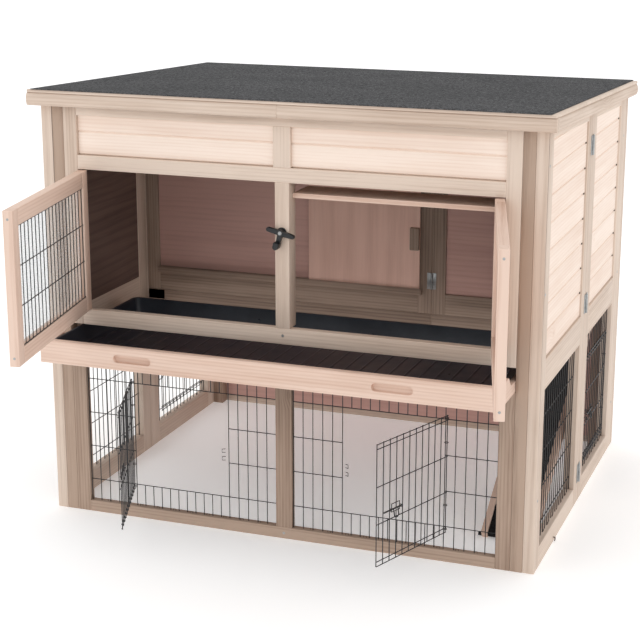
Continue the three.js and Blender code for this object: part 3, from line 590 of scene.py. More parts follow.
def timber(
    name, pale, dark, knot, knots=0.16, spacing=0.007, wander=5.0, rough=0.62, fibre=0.3, contrast=1.0
):
    """Softwood or veneer: growth lines along the grain, fine fibres, knots, and a painted highlight on the
    eased edges.
    """
    s = Shade(name)
    grain = s.attribute("grain").outputs["Vector"]
    tone = s.attribute("tone").outputs["Fac"]
    worn = s.attribute("worn").outputs["Fac"]

    cells = s.node("ShaderNodeTexVoronoi", {"Vector": s.stretched(grain, 7, 11, 1.5), "Scale": 1.0})
    chance = s.node("ShaderNodeSeparateColor", {"Color": cells.outputs["Color"]}).outputs[0]
    present = s.math("LESS_THAN", chance, knots)
    size = s.remap(chance, 0, knots, 0.045, 0.085)
    reach = s.math("DIVIDE", cells.outputs["Distance"], size)
    knot_mask = s.math("MULTIPLY", s.remap(reach, 1.0, 0.7, smooth=True), present)
    rim_mask = s.math("MULTIPLY", s.remap(reach, 2.1, 1.0, smooth=True), present)
    swell = s.math("MULTIPLY", s.remap(reach, 5.0, 0.6, smooth=True), present)

    wave_period = 2 * math.pi / 20
    lines = wave_period / spacing
    rings = s.node(
        "ShaderNodeTexWave",
        {
            "Vector": s.stretched(grain, 2.6, lines, lines),
            "Scale": 1.0,
            "Distortion": wander,
            "Detail": 3.0,
            "Detail Scale": 0.55,
            "Detail Roughness": 0.55,
            "Phase Offset": s.math("MULTIPLY", swell, 9.0),
        },
        bands_direction="Y",
        wave_profile="SIN",
    ).outputs["Fac"]
    late_wood = s.math("POWER", rings, 2.2)
    streaks = s.noise(s.stretched(grain, 1.8, 46, 46), detail=4, roughness=0.6)
    fibres = s.noise(s.stretched(grain, 14, 900, 900), detail=2, roughness=0.65)
    cloud = s.noise(s.stretched(grain, 3.5, 9, 9), detail=2)

    lined = s.math("MULTIPLY", late_wood, 0.36 * contrast)
    share = s.math("ADD", lined, s.remap(streaks, 0.34, 0.66, 0, 0.6 * contrast))
    share = s.math("ADD", share, s.math("MULTIPLY", s.math("SUBTRACT", fibres, 0.5), fibre * 2.2))
    share = s.math("ADD", share, s.math("MULTIPLY", tone, 0.22))
    share = s.math("ADD", share, s.remap(cloud, 0.3, 0.7, -0.22, 0.1))
    share = s.math("ADD", share, 0.0, clamp=True)
    shown = s.mix(share, pale, dark)
    shown = s.mix(s.math("MULTIPLY", rim_mask, 0.45), shown, dark)
    shown = s.mix(s.math("MULTIPLY", knot_mask, s.remap(fibres, 0.2, 0.8, 0.65, 0.95)), shown, knot)
    # Painted highlight: the rounded edges are painted lighter, where light would catch them.
    edge_highlight_colour = tuple(min(1.0, c * 1.12) for c in pale)
    shown = s.mix(s.math("MULTIPLY", worn, s.remap(streaks, 0.35, 0.65, 0.15, 0.6)), shown, edge_highlight_colour)

    height = s.math("ADD", s.math("MULTIPLY", fibres, 0.6), s.math("MULTIPLY", rings, -0.35))
    height = s.math("SUBTRACT", height, s.math("MULTIPLY", knot_mask, 0.5))
    return s.coat(
        Base_Color=shown,
        Roughness=s.remap(fibres, 0.25, 0.75, rough - 0.08, rough + 0.12),
        Normal=s.bump(height, 0.25, 0.0004),
        Specular_IOR_Level=0.2,
    )


def granules(name, pale, dark, size=0.0024, cover=0.5):
    """Mineral granules pressed into bitumen."""
    s = Shade(name)
    place = s.node("ShaderNodeTexCoord").outputs["Object"]
    cells = s.node("ShaderNodeTexVoronoi", {"Vector": place, "Scale": 1 / size})
    shade = s.node("ShaderNodeSeparateColor", {"Color": cells.outputs["Color"]}).outputs[0]
    drift = s.noise(place, scale=5.5, detail=4, roughness=0.6)
    coarse = s.noise(place, scale=150, detail=2)
    covered = s.remap(drift, 0.3, 0.7, cover * 0.75, cover * 1.15)
    share = s.math("MULTIPLY", s.remap(shade, 0.15, 1.0), covered)
    share = s.math("ADD", share, s.remap(coarse, 0.35, 0.65, -0.12, 0.16), clamp=True)
    height = s.math("SUBTRACT", s.math("MULTIPLY", shade, 0.6), cells.outputs["Distance"])
    return s.coat(
        Base_Color=s.mix(share, dark, pale),
        Roughness=s.remap(shade, 0, 1, 0.78, 0.95),
        Normal=s.bump(height, 0.7, size * 0.45),
        Specular_IOR_Level=0.1,
    )


def coated(name, shade, rough=0.36, metal=0.0, peel=0.00003, grain_size=900.0, streak=0.35):
    """Moulded plastic or a paint coat: a fine peel, faint scuffs and uneven gloss."""
    s = Shade(name)
    place = s.node("ShaderNodeTexCoord").outputs["Object"]
    fine = s.noise(place, scale=grain_size, detail=2)
    broad = s.noise(place, scale=14, detail=5, roughness=0.65)
    light = tuple(min(1.0, c * 1.9 + 0.012) for c in shade)
    return s.coat(
        Base_Color=s.mix(s.remap(broad, 0.42, 0.75, 0, streak), shade, light),
        Roughness=s.remap(broad, 0.3, 0.7, rough - 0.07, rough + 0.14),
        Metallic=metal,
        Normal=s.bump(fine, 0.5, peel),
    )


def plated(name, shade):
    """Zinc plate with a faint spangle and dulled patches."""
    s = Shade(name)
    place = s.node("ShaderNodeTexCoord").outputs["Object"]
    spangle = s.node("ShaderNodeTexVoronoi", {"Vector": place, "Scale": 420.0}).outputs["Color"]
    shine = s.node("ShaderNodeSeparateColor", {"Color": spangle}).outputs[0]
    dull = s.noise(place, scale=60, detail=4, roughness=0.7)
    darker = tuple(c * 0.55 for c in shade)
    share = s.math("ADD", s.math("MULTIPLY", shine, 0.25), s.remap(dull, 0.45, 0.75, 0, 0.7), clamp=True)
    return s.coat(
        Base_Color=s.mix(share, shade, darker),
        Roughness=s.remap(dull, 0.3, 0.7, 0.26, 0.5),
        Metallic=0.9,
        Normal=s.bump(dull, 0.15, 0.0002),
    )


def clear_sheet(name, shade):
    """Clear plastic sheet with faint smears."""
    s = Shade(name)
    place = s.node("ShaderNodeTexCoord").outputs["Object"]
    smear = s.noise(s.stretched(place, 9, 9, 2.2), detail=4, roughness=0.6, distortion=0.8)
    s.material.surface_render_method = "BLENDED"
    return s.coat(
        Base_Color=s.mix(s.remap(smear, 0.4, 0.7, 0, 0.25), shade, srgb(214, 226, 232)),
        Roughness=s.remap(smear, 0.35, 0.7, 0.03, 0.16),
        Alpha=0.26,
        Specular_IOR_Level=0.8,
    )


def finish(name):
    """The named material, made once from the colours."""
    kind, name = name, f"{name}_finish"
    if name in bpy.data.materials:
        return bpy.data.materials[name]
    c = bpy.context.scene.hutch_colours
    shades = {key: tuple(getattr(c, key)) for key in HutchColours.__annotations__}
    knot, soft_knot = shades["knot"], shades["stain_dark"]
    # The lining's lines are a darker copy of its painted-shade colour.
    shade_lining_lines = tuple(c * 0.6 for c in shades["lining"])

    def wood(family, spots=knot, **looks):
        """Timber in the two colours of a family."""
        return timber(name, shades[f"{family}_pale"], shades[f"{family}_dark"], spots, **looks)

    veneer = {"wander": 9, "rough": 0.6, "contrast": 0.6}
    makers = {
        "stained_timber": lambda: wood("stain", knots=0.3, fibre=0.42, contrast=0.85),
        # Post stain: the stain darkened partly with painted shade.
        "post_stain": lambda: wood("post", knots=0.25, fibre=0.35),
        "cream_boards": lambda: wood("cream", soft_knot, knots=0.16, fibre=0.26, contrast=0.7),
        "natural_pine": lambda: wood("pine", soft_knot, knots=0.2, fibre=0.26, contrast=0.85),
        "brown_plywood": lambda: wood("ply", knots=0.02, spacing=0.012, **veneer),
        # Inside stain: the stain darkened as painted shade for the inside of the house.
        "inside_stain": lambda: wood("inside", knots=0.2, fibre=0.4),
        # Painted shade: the dark lining sheet inside the side walls.
        "lining_plywood": lambda: timber(
            name, shades["lining"], shade_lining_lines, knot, knots=0.0, spacing=0.02, wander=9
        ),
        "sliding_plywood": lambda: wood("door_ply", knots=0.0, spacing=0.05, **veneer),
        "roof_felt": lambda: granules(name, shades["felt_pale"], shades["felt_dark"]),
        "ramp_felt": lambda: granules(name, shades["felt_dark"], srgb(16, 16, 17), cover=0.9),
        "black_wire": lambda: coated(name, shades["wire"], rough=0.34),
        "black_plastic": lambda: coated(name, shades["plastic"], rough=0.34, streak=0.5),
        "latch_plastic": lambda: coated(name, shades["latch"], rough=0.3),
        "zinc": lambda: plated(name, shades["zinc"]),
        "nail_steel": lambda: plated(name, shades["nail"]),
        "clear_pane": lambda: clear_sheet(name, shades["pane"]),
    }
    return makers[kind]()


# ---- Posts and frames ----------------------------------------------------------------------------------


class HUTCH_OT_posts(bpy.types.Operator):
    """Make the four corner posts"""

    bl_idname = "hutch.posts"
    bl_label = "Corner posts"

    def execute(self, context):
        for end in ("front", "back"):
            for side, s in SIDES:
                node = f"corner_post_{end}_{side}"
                stock = Stock(11 + s + len(end))
                stock.add(cad_shape(node, context.scene.hutch_sizes.edge_round), along=Z)
                # Posts: stain darkened partly with painted shade.
                stock.piece(f"{node}_timber", "hutch", "post_stain", "stained_timber", [node])
        return {"FINISHED"}


def boarding(stock, corner, out, run, height, seed, cut, pitch=None):
    """Tongue-and-groove boards, laid from a lower corner of their face upwards, and cut at the top."""
    sizes = bpy.context.scene.hutch_sizes
    pitch, groove = pitch or sizes.board_pitch, sizes.groove
    thickness = 0.0096

    def board(level):
        face = ((groove, 0), (0, groove), (0, pitch - groove), (groove, pitch))
        depths = (*face, (thickness, pitch), (thickness, 0))
        return [corner - out * depth + Z * (level + z) for depth, z in depths]

    point, normal = cut
    top_at = min((point - corner).dot(normal), (point - corner - run).dot(normal)) / normal.z
    full = max(0, min(int(top_at / pitch), int(height / pitch)))
    template = Stock(seed).add(prism(board(0), run, 0.0004, segments=1), along=run.normalized())
    stock.row(template, full, Z * pitch, seed)
    for k in range(full, math.ceil(height / pitch)):
        stock.add(prism(board(k * pitch), run, 0.0, cut=cut), along=run.normalized())
    return stock


class HUTCH_OT_front(bpy.types.Operator):
    """Make the two front frames and the boards over the doors"""

    bl_idname = "hutch.front"
    bl_label = "Front frames"

    def execute(self, context):
        self.upper()
        self.lower()
        return {"FINISHED"}

    def upper(self):
        low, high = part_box("upper_front_frame")
        boards_low, boards_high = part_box("header_boards")
        stile = boards_low.x - GAP
        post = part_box("stop_board")[0].x - GAP
        leaf_low, leaf_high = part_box("left_door_frame")
        leaf_clearance = 0.0015
        sill, door_top = leaf_low.z - leaf_clearance, leaf_high.z + leaf_clearance
        header_low, header_high = boards_low.z - GAP, boards_high.z + GAP
        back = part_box("lower_front_frame")[1].y
        stock = Stock(21)
        for s in (-1, 1):
            ends = sorted((s * high.x, s * -stile))
            stock.plank((ends[0], low.y, low.z), (ends[1], back, high.z), Z)
        inner = -stile
        stock.plank((-inner, low.y, low.z), (inner, back, sill), X)
        stock.plank((-inner, low.y, door_top), (inner, back, header_low), X)
        stock.plank((-inner, low.y, header_high), (inner, back, high.z), X)
        stock.plank((-post, low.y, sill), (post, high.y, door_top), Z)
        mullion = 0.0195
        stock.plank((-mullion, low.y, header_low), (mullion, boards_low.y - GAP, header_high), Z)
        node = "upper_front_frame"
        stock.piece(f"{node}_timber", "hutch", "stained_timber", "stained_timber", [node])

        boards = Stock(22)
        corner = Vector((boards_low.x, boards_low.y, boards_low.z))
        run = X * (boards_high.x - boards_low.x)
        top = (Vector((0, 0, boards_high.z)), Z)
        boarding(boards, corner, -Y, run, boards_high.z - boards_low.z, 23, top, HEADER_PITCH)
        boards.piece("header_boards_timber", "hutch", "cream_boards", "cream_boards", ["header_boards"])

    def lower(self):
        low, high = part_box("lower_front_frame")
        mesh_low, mesh_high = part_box("front_mesh_right")
        outer, inner = mesh_high.x + GAP, mesh_low.x - GAP
        rail, head = mesh_low.z - GAP, mesh_high.z + GAP
        stock = Stock(24)
        for s in (-1, 1):
            ends = sorted((s * high.x, s * outer))
            stock.plank((ends[0], low.y, low.z), (ends[1], high.y, high.z), Z)
        stock.plank((-outer, low.y, low.z), (outer, high.y, rail), X)
        stock.plank((-outer, low.y, head), (outer, high.y, high.z), X)
        stock.plank((-inner, low.y, rail), (inner, high.y, head), Z)
        node = "lower_front_frame"
        # The run's frame: stain darkened partly with painted shade from the drawer over it.
        stock.piece(f"{node}_timber", "hutch", "post_stain", "stained_timber", [node])


def roof_plane(margin):
    """The plane that the tops of the walls are cut to, less a margin."""
    lean = slope_of("roof_felt")
    normal = Vector((0, math.sin(lean), math.cos(lean)))
    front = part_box("side_frame_right_front")
    return Vector((0, front[0].y, front[1].z - margin)), normal


class HUTCH_OT_sides(bpy.types.Operator):
    """Make the side walls: frames, boards and nails"""

    bl_idname = "hutch.sides"
    bl_label = "Side walls"

    def execute(self, context):
        for side, s in SIDES:
            for end in ("front", "back"):
                self.half(side, s, end)
        return {"FINISHED"}

    def half(self, side, s, end):
        low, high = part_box(f"side_frame_{side}_{end}")
        boards_low, boards_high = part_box(f"side_boards_{side}_{end}")
        mesh_low, mesh_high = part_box(f"side_mesh_{side}_{end}")
        start, stop = boards_low.y - GAP, boards_high.y + GAP
        rail, sill, mid = mesh_low.z - GAP, mesh_high.z + GAP, boards_low.z - GAP
        rail_under_roof, above = 0.016, 0.01
        top = roof_plane(0.0)
        under_rail = roof_plane(rail_under_roof)
        stock = Stock(31 + s + len(end))
        stock.plank((low.x, low.y, low.z), (high.x, start, high.z), Z, cut=top)
        stock.plank((low.x, stop, low.z), (high.x, high.y, high.z), Z, cut=top)
        stock.plank((low.x, start, low.z), (high.x, stop, rail), Y)
        stock.plank((low.x, start, sill), (high.x, stop, mid), Y)
        head = block((low.x, start, boards_low.z), (high.x, stop, high.z + above), cut=top)
        sliced(head, under_rail[0], -under_rail[1])
        stock.add(eased(head, bpy.context.scene.hutch_sizes.edge_round), along=Y)
        node = f"side_frame_{side}_{end}"
        stock.piece(f"{node}_timber", "hutch", "stained_timber", "stained_timber", [node])

        boards = Stock(41 + 2 * s + len(end))
        face = boards_high.x if s > 0 else boards_low.x
        corner = Vector((face, boards_low.y, boards_low.z))
        run = Y * (boards_high.y - boards_low.y)
        boarding(boards, corner, X * s, run, boards_high.z - boards_low.z, 43 + s + len(end), under_rail)
        node = f"side_boards_{side}_{end}"
        boards.piece(f"{node}_timber", "hutch", "cream_boards", "cream_boards", [node])

        # A dark sheet behind the side boards, inside the house: painted shade standing in for the shade there.
        set_in, sheet = 0.0012, 0.004
        behind = (low.x if s > 0 else high.x) + s * set_in
        near, far = sorted((behind, behind + s * sheet))
        lining = Stock(47)
        corners = ((near, start + GAP, mid + GAP), (far, stop - GAP, high.z))
        lining.plank(*corners, Y, cut=under_rail, ease=0)
        lining.piece(f"side_lining_{side}_{end}", "hutch", "lining_plywood", "brown_plywood")

        sizes = bpy.context.scene.hutch_sizes
        nails = Stock(51)
        radius = sizes.nail_diameter / 2
        from_end, sunk, long, clear_of_top = 0.0055, 0.0012, 0.0019, 0.012
        first = Vector((face - s * sunk, boards_high.y - from_end, boards_low.z + sizes.board_pitch))
        template = Stock(52).add(rod(first, X * s * long, radius, 12, tip=radius * 0.75), smooth=True)
        count = int((boards_high.z - boards_low.z - clear_of_top) / sizes.board_pitch)
        nails.row(template, count, Z * sizes.board_pitch, 53, spread=0)
        nails.piece(f"side_nails_{side}_{end}", "hutch", "nail_steel")


class HUTCH_OT_fold_hinges(bpy.types.Operator):
    """Make the butt hinges on which the halves of each side wall fold"""

    bl_idname = "hutch.fold_hinges"
    bl_label = "Fold hinges"

    def execute(self, context):
        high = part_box("side_frame_right_front")[1]
        joint_y = high.y
        leaf, tall, sheet = 0.0155, 0.044, 0.0012
        barrel_out, barrel_radius, pin_radius, pin_end, knuckles = 0.0022, 0.0029, 0.0014, 0.0008, 5
        screw_in, screw_along = 0.0095, 0.008
        hinge_levels = (0.072, 0.478, 0.838)
        for side, s in SIDES:
            stock = Stock(61 + s)
            face = s * high.x if s > 0 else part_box("side_frame_left_front")[0].x
            for centre in hinge_levels:
                base = Vector((face, joint_y, centre - tall / 2))
                for way in (-1, 1):
                    edges = sorted((0.0022 * way, leaf * way))
                    a = base + Vector((0, edges[0], 0))
                    b = base + Vector((s * sheet, edges[1], tall))
                    corners = [[f(p) for p in zip(a, b)] for f in (min, max)]
                    stock.add(block(*corners, 0.0004), Z)
                    seat = base + Vector((s * sheet, way * screw_in, screw_along))
                    head = rod(seat, X * s * 0.0011, 0.0033, 14, tip=0.0021)
                    template = Stock(62).add(head, smooth=True)
                    stock.row(template, 2, Z * (tall - 2 * screw_along), 63, spread=0)
                step = Z * tall / knuckles
                knuckle = rod(base + X * s * barrel_out, step * 0.94, barrel_radius, 14)
                stock.row(Stock(64).add(knuckle, smooth=True), knuckles, step, 65, spread=0)
                pin_foot = base + Vector((s * barrel_out, 0, -pin_end))
                stock.add(rod(pin_foot, Z * (tall + 2 * pin_end), pin_radius, 10), smooth=True)
            stock.piece(f"fold_hinges_{side}", "hutch", "zinc")
        return {"FINISHED"}


class HUTCH_OT_back(bpy.types.Operator):
    """Make the back wall"""

    bl_idname = "hutch.back"
    bl_label = "Back wall"

    def execute(self, context):
        low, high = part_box("back_frame")
        panel_low, panel_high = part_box("back_panel")
        overlap = 0.0094
        inner = panel_high.x - overlap
        rail, head = panel_low.z + overlap, panel_high.z - overlap
        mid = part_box("lower_front_frame")[1].z
        thick = panel_high.y - low.y + 2 * GAP
        mid_rail = 0.045
        stock = Stock(71)
        for s in (-1, 1):
            ends = sorted((s * high.x, s * inner))
            stock.plank((ends[0], low.y, low.z), (ends[1], high.y, high.z), Z)
        front = low.y + thick
        stock.plank((-inner, front, low.z), (inner, high.y, rail), X)
        stock.plank((-inner, front, mid), (inner, high.y, mid + mid_rail), X)
        stock.plank((-inner, front, head), (inner, high.y, high.z), X)
        stock.plank((-mid_rail / 2, front, mid + mid_rail), (mid_rail / 2, high.y, head), Z)
        stock.plank((-inner, low.y, low.z), (inner, front, panel_low.z - GAP), X)
        stock.plank((-inner, low.y, panel_high.z + GAP), (inner, front, high.z), X)
        stock.piece("back_frame_timber", "hutch", "stained_timber", "stained_timber", ["back_frame"])
        panel = Stock(72).add(cad_shape("back_panel", 0.0004), along=X)
        panel.piece("back_panel_ply", "hutch", "brown_plywood", "brown_plywood", ["back_panel"])
        return {"FINISHED"}


# ---- Wire ----------------------------------------------------------------------------------------------


def spaced(start, stop, pitch):
    """Places from start to stop, as near the pitch as whole spaces allow."""
    spaces = max(1, round(abs(stop - start) / pitch))
    return [start + (stop - start) * i / spaces for i in range(spaces + 1)]


def wires(stock, starts, run):
    """A row of equal straight wires, evenly spaced."""
    if not starts:
        return stock
    radius = bpy.context.scene.hutch_sizes.wire_diameter / 2
    template = Stock(81).add(rod(starts[0], run, radius), smooth=True)
    step = starts[1] - starts[0] if len(starts) > 1 else X
    return stock.row(template, len(starts), step, 82, spread=0)


class Panel:
    """Flat welded mesh: u runs across it, Z up it, and out is the way its cross wires stand off."""

    def __init__(self, origin, u, out):
        self.origin, self.u, self.out = Vector(origin), Vector(u), Vector(out)
        self.weld = bpy.context.scene.hutch_sizes.wire_diameter * 0.36
        self.stock = Stock(83)

    def at(self, u, z, lift=0.0):
        return self.origin + self.u * u + Z * z + self.out * lift

    def uprights(self, places, low, high):
        wires(self.stock, [self.at(u, low, -self.weld) for u in places], Z * (high - low))

    def cross(self, start, stop, levels):
        for z in levels:
            wires(self.stock, [self.at(start, z, self.weld)], self.u * (stop - start))


def mesh_levels():
    """Heights of the cross wires of the run's openings, taken from the doors that cover them."""
    low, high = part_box("wire_door_right")
    lap = 0.0111
    return spaced(low.z + lap, high.z - lap, 0.08)


class HUTCH_OT_fixed_mesh(bpy.types.Operator):
    """Make the fixed welded mesh round the run, with its staples"""

    bl_idname = "hutch.fixed_mesh"
    bl_label = "Fixed mesh"

    def execute(self, context):
        for side, s in SIDES:
            hinge = joint(f"run_door_{side}_hinge")["pos_m"]
            node = f"front_mesh_{side}"
            low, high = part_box(node)
            inner, outer = sorted((abs(low.x), abs(high.x)))
            reach = self.door_reach(f"wire_door_{side}", f"run_door_{side}_hinge")
            door = (abs(hinge[0]) - reach, abs(hinge[0]))
            panel = Panel((0, (low.y + high.y) / 2, 0), X * s, Y)
            self.panel(node, panel, inner, outer, door, low.z, high.z)
            for end in ("front", "back"):
                node = f"side_mesh_{side}_{end}"
                low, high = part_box(node)
                middle = (low.x + high.x) / 2
                hinge_y = joint(f"side_door_{side}_hinge")["pos_m"][1]
                reach = abs(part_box(f"side_wire_door_{side}")[0].y - hinge_y)
                door = (hinge_y - reach, hinge_y) if end == "back" else None
                self.panel(node, Panel((middle, 0, 0), Y, X * -s), low.y, high.y, door, low.z, high.z)
        return {"FINISHED"}

    def door_reach(self, node, hinge):
        low, high = box_in(node, swung(hinge))
        return max(abs(low.x), abs(high.x))

    def panel(self, node, panel, start, stop, door, low, high):
        sizes = bpy.context.scene.hutch_sizes
        radius = sizes.wire_diameter / 2
        start, stop = start + radius, stop - radius
        levels = mesh_levels()
        lap = 0.005
        if door:
            first, last = door[0] + lap, door[1] - lap
            before = spaced(start, first, sizes.wire_pitch)
            across = spaced(first, last, sizes.wire_pitch)[1:-1]
            after = spaced(last, stop, sizes.wire_pitch)
            panel.uprights(before, low, high)
            panel.uprights(after, low, high)
            panel.uprights(across, low, levels[0])
            panel.uprights(across, levels[-1], high)
            for z in levels[1:-1]:
                panel.cross(start, first, [z])
                panel.cross(last, stop, [z])
            panel.cross(start, stop, (levels[0], levels[-1]))
            ends = before + across + after
        else:
            ends = spaced(start, stop, sizes.wire_pitch)
            panel.uprights(ends, low, high)
            panel.cross(start, stop, levels)
        panel.stock.piece(f"{node}_wires", "hutch", "black_wire", "black_wire", [node])
        self.staples(node, panel, (start, stop), low, high)

    def staples(self, node, panel, ends, low, high):
        """Wire staples over every other upright, down into the rails."""
        sizes = bpy.context.scene.hutch_sizes
        half = sizes.staple_width / 2
        pitch = sizes.wire_pitch * 2
        places = spaced(ends[0] + pitch, ends[1] - pitch, pitch)
        stock = Stock(84)
        for level, way in ((low, 1), (high, -1)):
            lift = -panel.weld - 0.0012
            corners = [(-half, -0.0003), (-half, 0.004), (half, 0.004), (half, -0.0003)]
            points = [panel.at(places[0] + u, level + way * z, lift) for u, z in corners]
            template = Stock(85).add(bent(points, 0.0006, 5), smooth=True)
            stock.row(template, len(places), panel.u * (places[1] - places[0]), 86, spread=0)
        stock.piece(f"{node}_staples", "hutch", "nail_steel")


class HUTCH_OT_wire_doors(bpy.types.Operator):
    """Make the wire doors of the run, with their rings, bolts and catches"""

    bl_idname = "hutch.wire_doors"
    bl_label = "Wire doors"

    def execute(self, context):
        for side, s in SIDES:
            place = swung(f"run_door_{side}_hinge")
            self.door(f"wire_door_{side}", f"run_door_{side}", place, X * -s, -Y)
            self.bolt(f"wire_bolt_{side}", f"run_bolt_{side}", place, X * -s, -Y)
            shut = Matrix.Translation(place.translation)
            self.catches(f"run_{side}", shut, X * -s, -Y, f"wire_bolt_{side}", place)
            place = Matrix.Translation(joint(f"side_door_{side}_hinge")["pos_m"])
            self.door(f"side_wire_door_{side}", f"side_door_{side}", place, -Y, X * s)
            self.bolt(f"side_wire_bolt_{side}", f"side_bolt_{side}", place, -Y, X * s)
            self.catches(f"side_{side}", place, -Y, X * s, f"side_wire_bolt_{side}", place)
        return {"FINISHED"}

    def door(self, node, body, place, u, out):
        """A door of welded wire, drawn from its hinge wire along u."""
        sizes = bpy.context.scene.hutch_sizes
        low, high = box_in(node, place)
        reach = max(abs(low.dot(u)), abs(high.dot(u))) - sizes.wire_diameter / 2
        radius = sizes.wire_diameter / 2
        shift = place.translation.z
        levels = [z - shift for z in mesh_levels()]
        ends = (low.z + radius, high.z - radius)
        panel = Panel((0, 0, 0), u, out)
        places = spaced(0, reach, sizes.wire_pitch)
        panel.uprights(places, ends[0] - radius, ends[1] + radius)
        panel.cross(0, reach, [ends[0], *levels, ends[1]])
        rings = Stock(87)
        for z in (levels[0] - 0.004, levels[0] + 0.05, levels[-1] - 0.05, levels[-1] + 0.004):
            rings.add(ring(Vector((0, 0, z)) - out * 0.0022, Z, 0.0085, 0.0016), smooth=True)
        for stock, suffix, slot in ((panel.stock, "wires", [node]), (rings, "rings", [])):
            stock.points = [place @ p for p in stock.points]
            stock.piece(f"{node}_{suffix}", body, "black_wire", "black_wire", slot)

    def bolt(self, node, body, place, u, out):
        """A bolt of bent wire that slides in loops on its door, with a drop handle."""
        low, high = box_in(node, place)
        start, stop = sorted((low.dot(u), high.dot(u)))
        rod_level = low.z + ROD_LEVEL
        middle = (low + high) / 2
        lift = abs(middle.dot(out))

        def at(along, z, extra=0.0):
            return place @ (u * along + Z * (rod_level + z) + out * (lift + extra))

        stock = Stock(88)
        stock.add(rod(at(start, 0), at(stop, 0) - at(start, 0), 0.0016, 10), smooth=True)
        grip_start, grip_stop, drop = start + 0.014, start + 0.028, -0.019
        corner, knee_out, foot_out = 0.004, 0.0025, 0.003
        handle = [
            at(grip_start, 0),
            at(grip_start, drop + corner, knee_out),
            at(grip_start + corner, drop, foot_out),
            at(grip_stop - corner, drop, foot_out),
            at(grip_stop, drop + corner, knee_out),
            at(grip_stop, 0),
        ]
        stock.add(bent(handle, 0.0013, 8), smooth=True)
        stock.piece(f"{node}_wire", body, "black_wire", "black_wire", [node])

        guide = Stock(89)
        door_body = frame_parent(body)
        guide_low, guide_high, near, far = -0.006, 0.0115, 0.008, 0.034
        points = [(near, guide_low), (near, guide_high), (far, guide_high), (far, guide_low)]
        loop = [at(start + a, z, -0.0004) for a, z in points]
        guide.add(bent(loop, 0.0011, 8, closed=True), smooth=True)
        for along in (near - 0.004, far + 0.004):
            guide.add(ring(at(start + along, 0), place.to_3x3() @ u, 0.0062, 0.0014), smooth=True)
        guide.piece(f"{node}_guide", door_body, "black_wire", "black_wire")

    def catches(self, name, place, u, out, bolt, bolt_place):
        """Two loops on the fixed mesh that take the end of the bolt."""
        sizes = bpy.context.scene.hutch_sizes
        low, high = box_in(bolt, bolt_place)
        stop = max(low.dot(u), high.dot(u))
        level = low.z + ROD_LEVEL
        beyond, deep, half, lift = stop + 0.0085, 0.007, 0.004, 0.002
        corners = ((0.0, -half, -lift), (-deep, -half, lift), (-deep, half, lift), (0.0, half, -lift))
        stock = Stock(90)
        for above in (-0.009, 0.009):
            points = [
                place @ (u * (beyond + along) + Z * (level + above + z) + out * off)
                for along, z, off in corners
            ]
            stock.add(bent(points, sizes.wire_diameter * 0.4, 6), smooth=True)
        stock.piece(f"{name}_catch", "hutch", "black_wire", "black_wire")


def frame_parent(body):
    """The body that carries a body."""
    return next(j["parent"] for j in frame["joints"] if j["child"] == body)


# ---- House doors and latch -----------------------------------------------------------------------------


